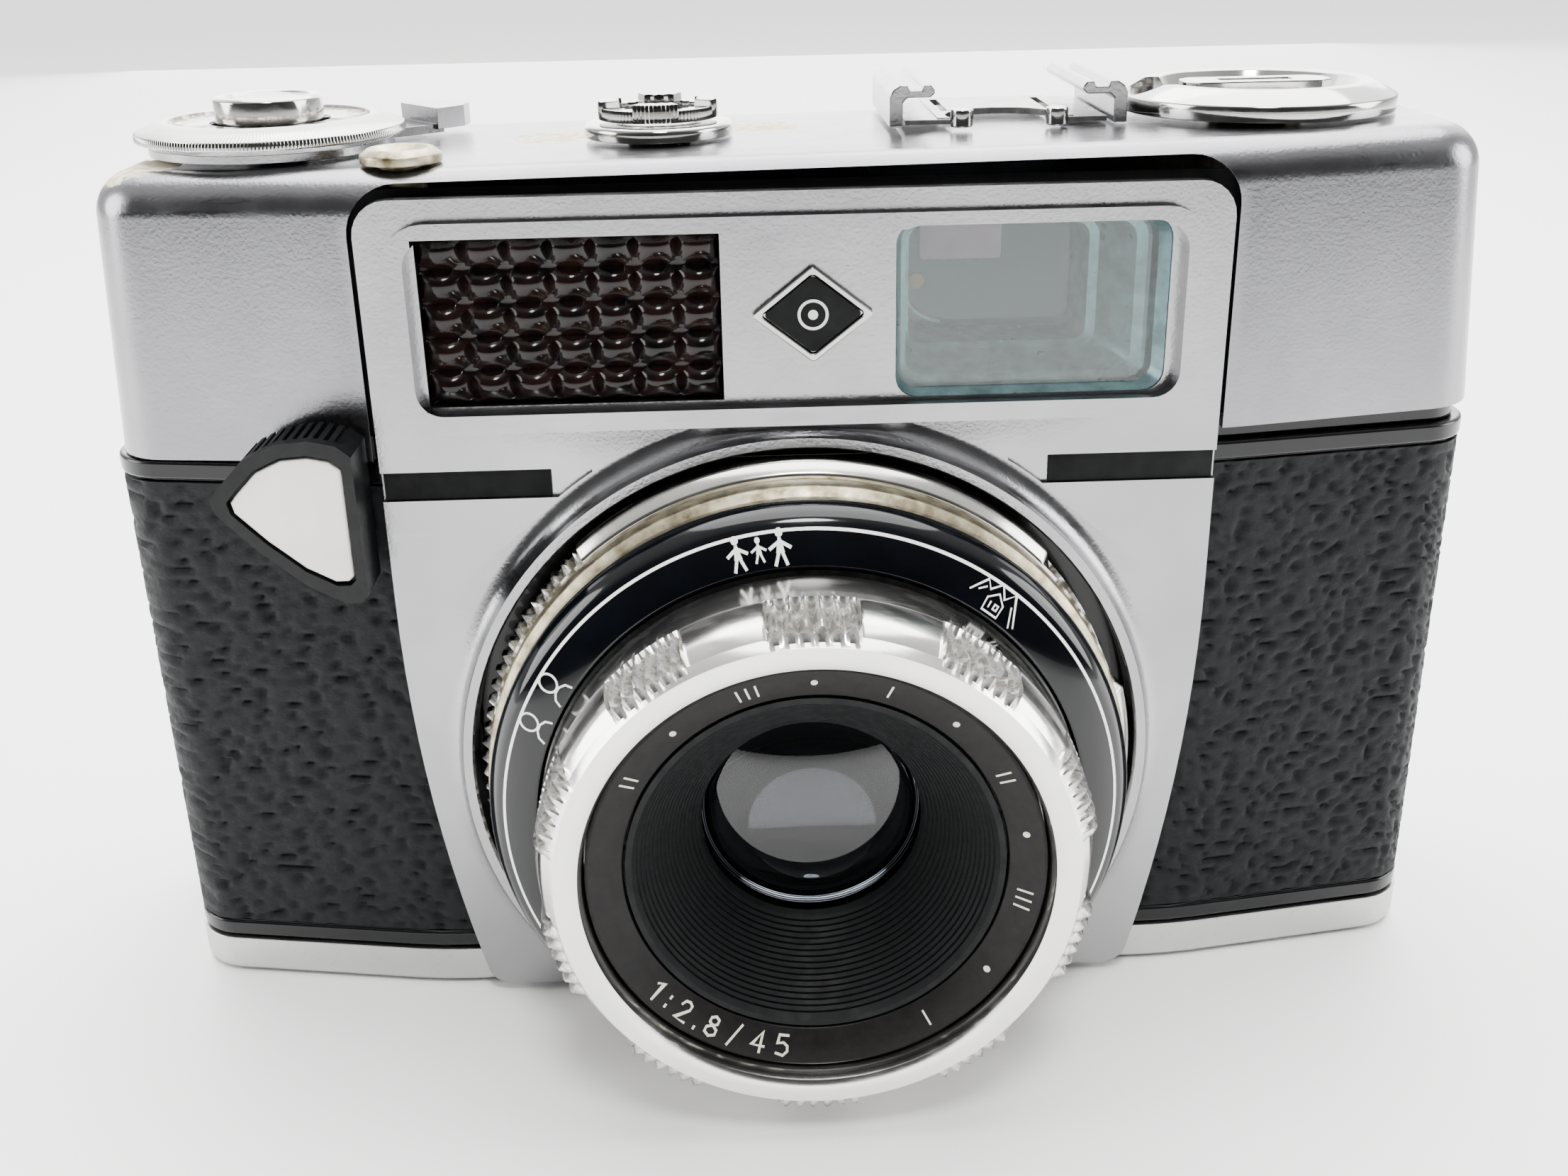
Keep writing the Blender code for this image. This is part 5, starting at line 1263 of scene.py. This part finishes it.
class CAMERA_OT_focus(PieceOperator):
    """Makes the grooved focus ring, the name plate with its numerals, the black cone and the glass"""

    bl_idname = "camera.focus"
    bl_label = "Focus ring and glass"

    def build(self, sizes, colours):
        r, front, back = FOCUS_HIGH.x, FOCUS_LOW.y, FOCUS_HIGH.y
        seat = NAME_HIGH.x + 0.2
        rows = [
            (r, back), (r, back - 0.4), (r, back - 3.0), (r, back - 4.2), (r, back - 4.6), (r, front + 2.9),
            (r, front + 2.2), (r - 0.15, front + 1.5), (r - 1.3, front + 0.9)
        ]
        lip = [
            (r - 1.6, front + 0.4), (r - 1.9, front), (r - 2.8, front - 0.0), (seat + 0.7, front + 0.1),
            (seat + 0.25, front + 0.35), (seat, front + 0.9), (seat, NAME_HIGH.y + 0.2),
            (17.4, NAME_HIGH.y + 0.4), (17.4, back)
        ]
        ring = lens_lathe(rows + lip, 1080)
        groove = sizes.groove / MM

        def lug(at):
            return abs((at + 18.0) % 36.0 - 18.0)

        depth = [0, 0, 0, 0, 0.0, 0.55, 0.9, 1.35, 0.0]
        for vertex in ring.verts:
            out = math.hypot(vertex.co.x - LENS_X, vertex.co.z - LENS_Z)
            if out < r - 1.45:
                continue
            away = lug(clock(vertex.co))
            row = min(range(len(rows)), key=lambda i: abs(rows[i][1] - vertex.co.y) + abs(rows[i][0] - out))
            if away < 9.2:
                cut = groove * (1 - saw((clock(vertex.co) + 18.0) % 36.0 / 3.06 + 0.12))
                if row in (4, 5, 6):
                    pull_in(vertex, cut, (LENS_X, LENS_Z), "Y")
                elif row == 7:
                    pull_in(vertex, cut * 0.9, (LENS_X, LENS_Z), "Y")
                elif row == 8:
                    pull_in(vertex, -0.9 + cut * 0.8, (LENS_X, LENS_Z), "Y")
            else:
                blend = min(1.0, (away - 9.2) / 0.5)
                pull_in(vertex, depth[row] * blend, (LENS_X, LENS_Z), "Y")
        face_out(ring)
        obj = make(
            "focus_grip", ring, finish_of("Grip chrome"), "focus", ["focus_ring"], smooth=28
        )
        low_r = r - 0.35

        def dirt(p):
            out = math.hypot(p.x - LENS_X, p.z - LENS_Z)
            in_groove = out > seat + 2.4 and lug(clock(p)) < 9.4 and back - 4.4 > p.y > front + 0.8
            return (1.0 if in_groove and out < low_r else 0.35 if in_groove else 0.0) * 0.9

        paint(obj, "grime", dirt)
        place = lambda u, v: Vector(
            (
                LENS_X + (r + 0.0) * math.sin(math.radians(39) + u / r), back - 2.6 + v,
                LENS_Z + r * math.cos(math.radians(39) + u / r)
            )
        )
        up = lambda u, v: Vector((math.sin(math.radians(39) + u / r), 0, math.cos(math.radians(39) + u / r)))
        make(
            "focus_pointer", filled([(-0.95, -0.9), (0.95, -0.9), (0.0, 1.1)], place, up, 0.03),
            finish_of("Ring lacquer"), "focus"
        )
        self.name_plate()
        self.cone(sizes)
        self.glass()

    def name_plate(self):
        rim, mouth = NAME_HIGH.x, CELL_HIGH.x + 0.25
        front, back = NAME_LOW.y, CELL_LOW.y
        plate = lens_lathe(
            softened(
                [
                    (mouth, back), (rim - 0.3, front), (rim, front + 0.2), (rim, front + 1.3),
                    (mouth, back + 1.2)
                ],
                0.1
            ),
            160
        )
        make("name_plate", plate, finish_of("Name plate"), "focus", ["name_ring"])
        low, high = (mouth, back), (rim - 0.3, front)
        marks = []
        letters = [
            ("1", 231), (":", 226.5), ("2", 221.0), (".", 216.2), ("8", 211.5), ("/", 204.5), ("4", 197.5),
            ("5", 190.5)
        ]
        for sign, degrees in letters:
            place, up = on_cone(degrees, 17.35, low, high)
            paths = [[(-u * 1.55, -v * 1.55) for u, v in path] for path in STROKES[sign]]
            marks.append(ribbon(paths, 0.2, place, up, 0.03))
        for degrees in (60, 62.5, 98, 100.5, 103, 148, 300, 302.5, 340, 342.5, 345, 20):
            place, up = on_cone(degrees, 17.35, low, high)
            marks.append(ribbon([[(0, -0.55), (0, 0.55)]], 0.17, place, up, 0.03))
        for degrees in (80, 125, 320, 0, 40):
            place, up = on_cone(degrees, 17.35, low, high)
            angles = [math.tau * i / 12 for i in range(12)]
            dot = [(0.28 * math.cos(a), 0.28 * math.sin(a)) for a in angles]
            marks.append(filled(dot, place, up, 0.03))
        make("name_marks", joined(*marks), finish_of("Ivory fill"), "focus")

    def cone(self, sizes):
        lip, glass_r = CELL_HIGH.x, 9.5
        front, deep = CELL_LOW.y, GLASS_LOW.y + 0.1
        count = sizes.cone_grooves
        profile = [(lip, front + 1.4), (lip, front), (lip - 0.5, front)]
        for i in range(count):
            for share, dip in ((0.0, 0.0), (0.55, 0.0), (0.7, 0.22), (0.9, 0.22)):
                t = (i + share) / count
                out = lip - 0.7 + (glass_r - lip + 0.7) * t + dip
                profile.append((out, front + 0.25 + (deep - front - 0.25) * t + dip * 0.4))
        profile += [
            (glass_r, deep + 0.6), (glass_r + 1.2, deep + 1.2), (glass_r + 1.2, CELL_HIGH.y - 1),
            (11.9, CELL_HIGH.y - 1), (11.9, -29.5), (14.1, -30.0), (14.1, front + 2.4)
        ]
        make(
            "cone", lens_lathe(profile, 160), finish_of("Cone black"), "lens_cell",
            ["front_cell"], smooth=32
        )

    def glass(self):
        r, front = GLASS_HIGH.x, GLASS_LOW.y
        sag = 1.9
        dome = [(r * i / 12, front + sag * (i / 12) ** 2) for i in range(13)]
        hollow = [(r * i / 12, front + 4.2 + 2.4 * (1 - (i / 12) ** 2)) for i in range(12, -1, -1)]
        lens = lens_lathe(dome + [(r, front + 4.0)] + hollow[1:], 96)
        make(
            "front_glass", lens, finish_of("Coated glass"), "lens_cell", ["front_element"],
            smooth=60
        )


class CAMERA_OT_top(PieceOperator):
    """Makes what stands on the cover: dials, lever, cable socket, film reminder, shoe and rewind knob"""

    bl_idname = "camera.top"
    bl_label = "Pieces on the cover"

    def build(self, sizes, colours):
        self.wind()
        self.reminder()
        self.shoe()
        self.rewind()

    def wind(self):
        x, y = (WIND_LOW.x + WIND_HIGH.x) / 2, (WIND_LOW.y + WIND_HIGH.y) / 2
        foot, top, r = WIND_LOW.z, WIND_HIGH.z, WIND_HIGH.x - (WIND_LOW.x + WIND_HIGH.x) / 2
        profile = softened(
            [
                (5.2, foot), (r, foot), (r, foot + 0.75), (r - 2.6, top), (r - 3.0, top),
                (r - 3.2, top - 0.35), (5.2, top - 0.35)
            ],
            0.12
        )
        dial = lathe(profile, (x, y), "Z", 720)
        for vertex in dial.verts:
            out = math.hypot(vertex.co.x - x, vertex.co.y - y)
            if out > r - 0.12 and vertex.co.z > foot + 0.5:
                pull_in(
                    vertex,
                    0.18 * (1 - saw(math.degrees(math.atan2(vertex.co.x - x, vertex.co.y - y)) / 1.5)),
                    (x, y), "Z"
                )
        obj = make("wind_disc", dial, finish_of("Polished chrome"), "winder", ["wind_dial"])
        paint(
            obj, "grime",
            lambda p: 0.8 if r - 3.6 < math.hypot(p.x - x, p.y - y) < r - 3.0 and p.z < top - 0.1 else 0.0
        )
        foot, top, r = COUNTER_LOW.z, COUNTER_HIGH.z, (COUNTER_HIGH.x - COUNTER_LOW.x) / 2
        profile = softened(
            [
                (0, foot), (r, foot), (r, top - 0.25), (r - 0.3, top), (r - 1.0, top), (r - 1.2, top - 0.25),
                (0, top - 0.45)
            ],
            0.1
        )
        make(
            "counter_button", lathe(profile, (x, y), "Z", 96), finish_of("Polished chrome"), "counter",
            ["counter_knob"]
        )
        angle, z = math.radians(38.0), foot - 1.5
        ends = [
            (8.0, -3.3), (14.6, -3.5), (17.8, -2.9), (19.3, -1.3), (19.3, 1.3), (17.8, 2.9), (14.6, 3.5),
            (8.0, 3.3)
        ]
        turn = Matrix.Rotation(angle, 3, "Z")
        blade = [turn @ Vector((a, b, 0)) for a, b in ends]
        thick = extruded([(p.x + x, p.y + y) for p in blade[1:-1]], z + 0.8, z + 2.7)
        thin = extruded(
            [
                (p.x + x, p.y + y)
                for p in (blade[0], turn @ Vector((15.5, -3.0, 0)), turn @ Vector((15.5, 3.0, 0)), blade[-1])
            ],
            z + 0.45, z + 1.25
        )
        hub = lathe([(0, z + 0.35), (10.6, z + 0.35), (10.6, z + 1.05), (0, z + 1.05)], (x, y), "Z", 96)
        shaft = lathe([(0, 50.9), (2.6, 50.9), (2.6, z + 0.5), (0, z + 0.5)], (x, y), "Z", 32)
        arm = carve(thick, "UNION", thin, hub, shaft)
        make("wind_arm", arm, finish_of("Trim chrome"), "winder", ["wind_lever"], 0.2, 3)
        low, high = span("release_socket")
        cx, cy, top, r = SOCKET.x, SOCKET.y, high.z, (high.x - low.x) / 2
        profile = softened(
            [
                (1.1, low.z), (2.0, low.z), (2.0, top - 1.2), (r, top - 1.2), (r, top - 0.5), (r - 0.7, top),
                (2.4, top), (1.1, top - 0.9)
            ],
            0.12
        )
        make(
            "cable_socket", lathe(profile, (cx, cy), "Z", 64), finish_of("Worn brass"), "camera",
            ["release_socket"]
        )

    def reminder(self):
        x, y = REMINDER.x, REMINDER.y
        low, high = FLANGE_LOW, FLANGE_HIGH
        r = (high.x - low.x) / 2
        profile = softened(
            [
                (1.6, low.z), (1.6, high.z), (r - 0.25, high.z), (r, high.z - 0.3), (r, high.z - 1.2),
                (2.8, high.z - 1.2), (2.8, low.z)
            ],
            0.15
        )
        make(
            "reminder_disc", lathe(profile, (x, y), "Z", 128), finish_of("Polished chrome"), "camera",
            ["reminder_flange"]
        )
        low, high = span("reminder_dial")
        crown = lathe(
            softened([(3.9, low.z), (5.3, low.z), (5.3, high.z), (3.9, high.z)], 0.08), (x, y), "Z", 720
        )
        for vertex in crown.verts:
            at = math.degrees(math.atan2(vertex.co.x - x, vertex.co.y - y)) % 360
            out = math.hypot(vertex.co.x - x, vertex.co.y - y)
            if vertex.co.z > low.z + 0.8:
                vertex.co.z -= 0.55 if 22 < at % 90 < 68 else 0.0
            if out > 5.0:
                pull_in(vertex, 0.2 * (1 - saw(at / 4.0)), (x, y), "Z")
            elif out < 4.2:
                pull_in(vertex, 0.4 * saw(at / 15.0), (x, y), "Z")
        make(
            "reminder_crown", crown, finish_of("Polished chrome"), "reminder",
            ["reminder_dial"]
        )

    def shoe(self):
        for side, sign in (("left", -1), ("right", 1)):
            low, high = span(f"shoe_rail_{side}")
            out, inner = (low.x, high.x) if sign < 0 else (high.x, low.x)
            wall, top = 1.2, high.z
            lip = top - 1.1
            hook = [
                (out, low.z), (out, top - 1.0), (out - sign * 0.3, top - 0.4), (out - sign * 0.9, top),
                (out - sign * 1.6, top),
                (out - sign * 1.8, top - 0.45), (inner + sign * 1.2, top - 0.45), (inner + sign * 1.0, top),
                (inner + sign * 0.4, top),
                (inner + sign * 0.05, top - 0.4), (inner, lip + 0.4), (inner + sign * 0.4, lip),
                (out - sign * (wall + 0.4), lip),
                (out - sign * wall, lip - 0.4), (out - sign * wall, low.z),
            ]
            rail = extruded(hook, low.y, high.y, "Y")
            make(
                f"shoe_hook_{side}", rail, finish_of("Trim chrome"), "camera",
                [f"shoe_rail_{side}"], 0.15, 3
            )
            low, high = span(f"shoe_stop_{side}")
            r = (high.x - low.x) / 2
            pin = lathe(
                softened([(0, low.z), (r, low.z), (r, high.z - 0.1), (r - 0.3, high.z), (0, high.z)], 0.2, 3),
                ((low.x + high.x) / 2, (low.y + high.y) / 2), "Z", 32
            )
            make(
                f"shoe_pin_{side}", pin, finish_of("Polished chrome"), "camera",
                [f"shoe_stop_{side}"]
            )
        low, high = span("shoe_spring")
        mid = (low.x + high.x) / 2
        leaf = box((low.x, high.x), (low.y, high.y), (low.z, high.z - 0.15))
        pad = box((mid - 6.1, mid + 6.1), (low.y + 0.3, high.y - 0.5), (low.z + 0.2, high.z))
        hole = lathe(
            [(0, low.z - 1), (5.2, low.z - 1), (5.2, high.z + 1), (0, high.z + 1)], (mid, low.y + 1.9), "Z",
            64
        )
        slots = [
            box(
                (mid + s * 4.9 - 0.35, mid + s * 4.9 + 0.35), (low.y + 5.2, high.y - 2.0),
                (low.z - 1, high.z + 1)
            )
            for s in (-1, 1)
        ]
        leaf = carve(leaf, "UNION", pad)
        make(
            "shoe_leaf", carve(leaf, "DIFFERENCE", hole, *slots), finish_of("Steel"), "camera",
            ["shoe_spring"], 0.06, 2
        )

    def rewind(self):
        low, high = REWIND_LOW, REWIND_HIGH
        x, y, r = (low.x + high.x) / 2, (low.y + high.y) / 2, (high.x - low.x) / 2
        foot, top = low.z, high.z
        floor_z = top - 1.2
        profile = softened(
            [
                (4.5, foot), (r, foot), (r, foot + 1.35), (r - 2.2, top), (r - 3.4, top), (r - 4.0, floor_z),
                (0, floor_z), (0, foot + 0.95), (4.5, foot + 0.95)
            ],
            0.15
        )
        knob = lathe(profile, (x, y), "Z", 160)
        gap = lathe(
            [(0, floor_z + 0.1), (3.6, floor_z + 0.1), (3.6, top + 1), (0, top + 1)], (x - r + 3.4, y), "Z",
            48
        )
        knob = carve(knob, "DIFFERENCE", gap)
        obj = make(
            "rewind_cap", knob, finish_of("Polished chrome"), "rewind", ["rewind_knob"], 0.1, 2
        )
        paint(
            obj, "grime",
            lambda p: 0.5 if p.z < floor_z + 0.05 and math.hypot(p.x - x, p.y - y) < r - 3 else 0.0
        )
        low, high = span("rewind_crank")
        ends = [
            (low.x, y - 1.4), (low.x + 1.0, y - 2.3), (high.x - 1.2, y - 2.3), (high.x, y - 1.1),
            (high.x, y + 1.1), (high.x - 1.2, y + 2.3), (low.x + 1.0, y + 2.3), (low.x, y + 1.4)
        ]
        arm = extruded(ends, low.z, high.z)
        slot = box((low.x + 3.4, high.x - 3.2), (y - 1.0, y + 1.0), (high.z - 0.35, high.z + 1))
        make(
            "rewind_arm", carve(arm, "DIFFERENCE", slot), finish_of("Polished chrome"), "crank",
            ["rewind_crank"], 0.15, 3
        )


class CAMERA_OT_release(PieceOperator):
    """Makes the ribbed release and its pale face"""

    bl_idname = "camera.release"
    bl_label = "Release"

    def outline(self, low, high):
        """The release from the front: a rounded wedge, its point low at the left."""
        right, crown, foot = high.x, high.z, low.z
        return [
            (right, foot + 0.6), (right, crown - 1.5), (right - 1.2, crown - 0.5), (right - 3.4, crown),
            (right - 6.2, crown - 0.2),
            (right - 9.0, crown - 1.5), (low.x + 0.8, foot + 10.6), (low.x, foot + 9.6),
            (low.x + 0.25, foot + 8.4),
            (low.x + 3.4, foot + 5.0), (right - 5.0, foot + 1.7), (right - 2.0, foot), (right - 0.6, foot),
        ]

    def build(self, sizes, colours):
        low, high = span("release_lever")
        front, back = low.y, -17.4
        wedge = extruded(self.outline(low, high), front, back, "Y")
        ribs = []
        count = 13
        for i in range(count):
            share = (i + 0.5) / count
            x = high.x - 0.9 - share * 11.0
            z = high.z - 0.1 - max(0.0, (high.x - 4.5 - x)) ** 2 * 0.075
            rib = box((x - 0.2, x + 0.2), (front + 1.1, back + 1.0), (z - 0.65, z + 2.0))
            ribs.append(rib)
        well = extruded(self.shrunk(low, high, 0.82), front - 1, front + 0.8, "Y")
        wedge = carve(wedge, "DIFFERENCE", well, *ribs)
        stem = box((-41.8, -39.4), (back - 1.0, -13.3), (46.1, 50.1))
        wedge = carve(wedge, "UNION", stem)
        make(
            "release_wedge", wedge, finish_of("Ribbed plastic"), "release",
            ["release_lever"], 0.12, 2
        )
        face = extruded(self.shrunk(low, high, 0.78), front + 0.12, front + 0.75, "Y")
        round_edges(face, lambda e: all(v.co.y < front + 0.2 for v in e.verts), 0.25, 3)
        make(
            "release_face", face, finish_of("Cream plastic"), "release", ["release_insert"],
            smooth=50
        )

    def shrunk(self, low, high, share):
        outline = self.outline(low, high)
        cx, cz = high.x - 4.7, (low.z + high.z) / 2 + 0.9
        return [(cx + (x - cx) * share, cz + (z - cz) * share * 0.98) for x, z in outline]


class CAMERA_OT_back(PieceOperator):
    """Makes the eyepiece"""

    bl_idname = "camera.back_pieces"
    bl_label = "Back"

    def build(self, sizes, colours):
        low, high = span("eyepiece_frame")
        mx, mz = (low.x + high.x) / 2, (low.z + high.z) / 2
        collar = extruded(
            [(low.x, low.z), (high.x, low.z), (high.x, high.z), (low.x, high.z)], BACK + 1.0, high.y, "Y"
        )
        round_edges(collar, along("Y"), 1.6, 5)
        stem = box((mx - 5.0, mx + 5.0), (low.y, BACK + 1.4), (mz - 3.5, mz + 3.5))
        hole = box((mx - 3.6, mx + 3.6), (low.y - 2, high.y + 2), (mz - 2.4, mz + 2.4))
        wide = box((mx - 4.8, mx + 4.8), (low.y - 2, BACK - 1.9), (mz - 3.3, mz + 3.3))
        frame_piece = carve(carve(collar, "UNION", stem), "DIFFERENCE", hole, wide)
        make(
            "eyepiece", frame_piece, finish_of("Ribbed plastic"), "camera",
            ["eyepiece_frame"], 0.3, 3
        )


class CAMERA_OT_stage(bpy.types.Operator):
    """Lays a pale floor, and sets the camera and soft light"""

    bl_idname = "camera.stage"
    bl_label = "Stage"
    bl_options = {"REGISTER", "UNDO"}

    def execute(self, context):
        sizes, colours = context.scene.camera_sizes, context.scene.camera_colours
        bm = bmesh.new()
        bmesh.ops.create_grid(bm, x_segments=1, y_segments=1, size=FLOOR_HALF)
        mesh = bpy.data.meshes.new("floor")
        bm.to_mesh(mesh)
        bm.free()
        floor = bpy.data.objects.new("floor", mesh)
        floor.location.z = -FLOOR_DROP
        context.scene.collection.objects.link(floor)
        paper, tree, shader = start("Floor paper", roughness=0.55)
        shader.inputs["Base Color"].default_value = (*colours.floor, 1.0)
        mesh.materials.append(paper)
        lights = [
            ("key", (0.05, 0.22, 0.70), (0.0, 0.0, 0.0), 0.9, sizes.key_light),
            ("back", (0.0, 0.85, 0.40), (0.0, 0.0, 0.03), 1.2, 12.0),
            ("left", (-0.70, -0.05, 0.25), (0.0, 0.0, 0.03), 0.45, 5.0),
            ("right", (0.70, -0.05, 0.25), (0.0, 0.0, 0.03), 0.45, 5.0),
            ("lamp", (0.02, -0.34, 0.62), (0.0, 0.0, 0.02), 0.16, 3.2),
        ]
        for name, place, aim, size, power in lights:
            data = bpy.data.lights.new(name, "AREA")
            data.shape = "DISK"
            data.size, data.energy = size, power
            lamp = bpy.data.objects.new(name, data)
            lamp.location = place
            lamp.rotation_euler = (Vector(aim) - Vector(place)).to_track_quat("-Z", "Y").to_euler()
            context.scene.collection.objects.link(lamp)
        view = bpy.data.cameras.new("view")
        view.lens, view.sensor_width = sizes.lens_length, 36.0
        view.clip_start = 0.01
        eye = bpy.data.objects.new("view", view)
        pan = Matrix.Rotation(math.radians(VIEW_PAN), 3, "Z")
        tilt = Matrix.Rotation(math.radians(VIEW_TILT), 3, "X")
        turn = pan @ tilt @ Matrix.Rotation(math.radians(VIEW_ROLL), 3, "Y")
        right, ahead, above = turn.col[0], turn.col[1], turn.col[2]
        pose = Matrix((right, above, -ahead)).transposed().to_4x4()
        pose.translation = Vector(VIEW_PLACE)
        eye.matrix_world = pose
        context.scene.collection.objects.link(eye)
        context.scene.camera = eye
        world = bpy.data.worlds.new("Studio")
        world.use_nodes = True
        tree = world.node_tree
        place = add(tree, "ShaderNodeTexCoord").outputs["Generated"]
        parts = add(tree, "ShaderNodeSeparateXYZ", links={"Vector": place})
        away = calc(tree, "MULTIPLY_ADD", parts.outputs["Y"], 0.45, 0.40)
        rise = calc(tree, "MULTIPLY_ADD", parts.outputs["Z"], 0.35, away)
        glow = ramp(tree, rise, [(0.05, 0.015), (0.35, 0.04), (0.55, 0.22), (0.78, 0.30), (0.84, 1.0)])
        tree.links.new(glow, tree.nodes["Background"].inputs["Color"])
        tree.nodes["Background"].inputs["Strength"].default_value = WORLD_STRENGTH
        context.scene.world = world
        return {"FINISHED"}


class CAMERA_PT_panel(bpy.types.Panel):
    """The camera's settings and pieces, in the 3D view's sidebar"""

    bl_label = "Viewfinder Camera"
    bl_idname = "CAMERA_PT_panel"
    bl_space_type = "VIEW_3D"
    bl_region_type = "UI"
    bl_category = "Camera"

    def draw(self, context):
        for group in (context.scene.camera_sizes, context.scene.camera_colours):
            for key in group.bl_rna.properties.keys():
                if key not in ("rna_type", "name"):
                    self.layout.prop(group, key)
        for kind in PIECES:
            self.layout.operator(kind.bl_idname)


PIECES = (
    CAMERA_OT_materials, CAMERA_OT_cover, CAMERA_OT_base, CAMERA_OT_borders, CAMERA_OT_leather,
    CAMERA_OT_trim,
    CAMERA_OT_windows, CAMERA_OT_rings, CAMERA_OT_focus, CAMERA_OT_top, CAMERA_OT_release,
    CAMERA_OT_back,
    CAMERA_OT_stage,
)
CLASSES = (CameraSizes, CameraColours, *PIECES, CAMERA_PT_panel)


def register():
    for kind in CLASSES:
        bpy.utils.register_class(kind)
    bpy.types.Scene.camera_sizes = PointerProperty(type=CameraSizes)
    bpy.types.Scene.camera_colours = PointerProperty(type=CameraColours)


def unregister():
    del bpy.types.Scene.camera_sizes
    del bpy.types.Scene.camera_colours
    for kind in reversed(CLASSES):
        bpy.utils.unregister_class(kind)


def main():
    register()
    for kind in PIECES:
        group, name = kind.bl_idname.split(".")
        getattr(getattr(bpy.ops, group), name)()


if __name__ == "__main__":
    main()
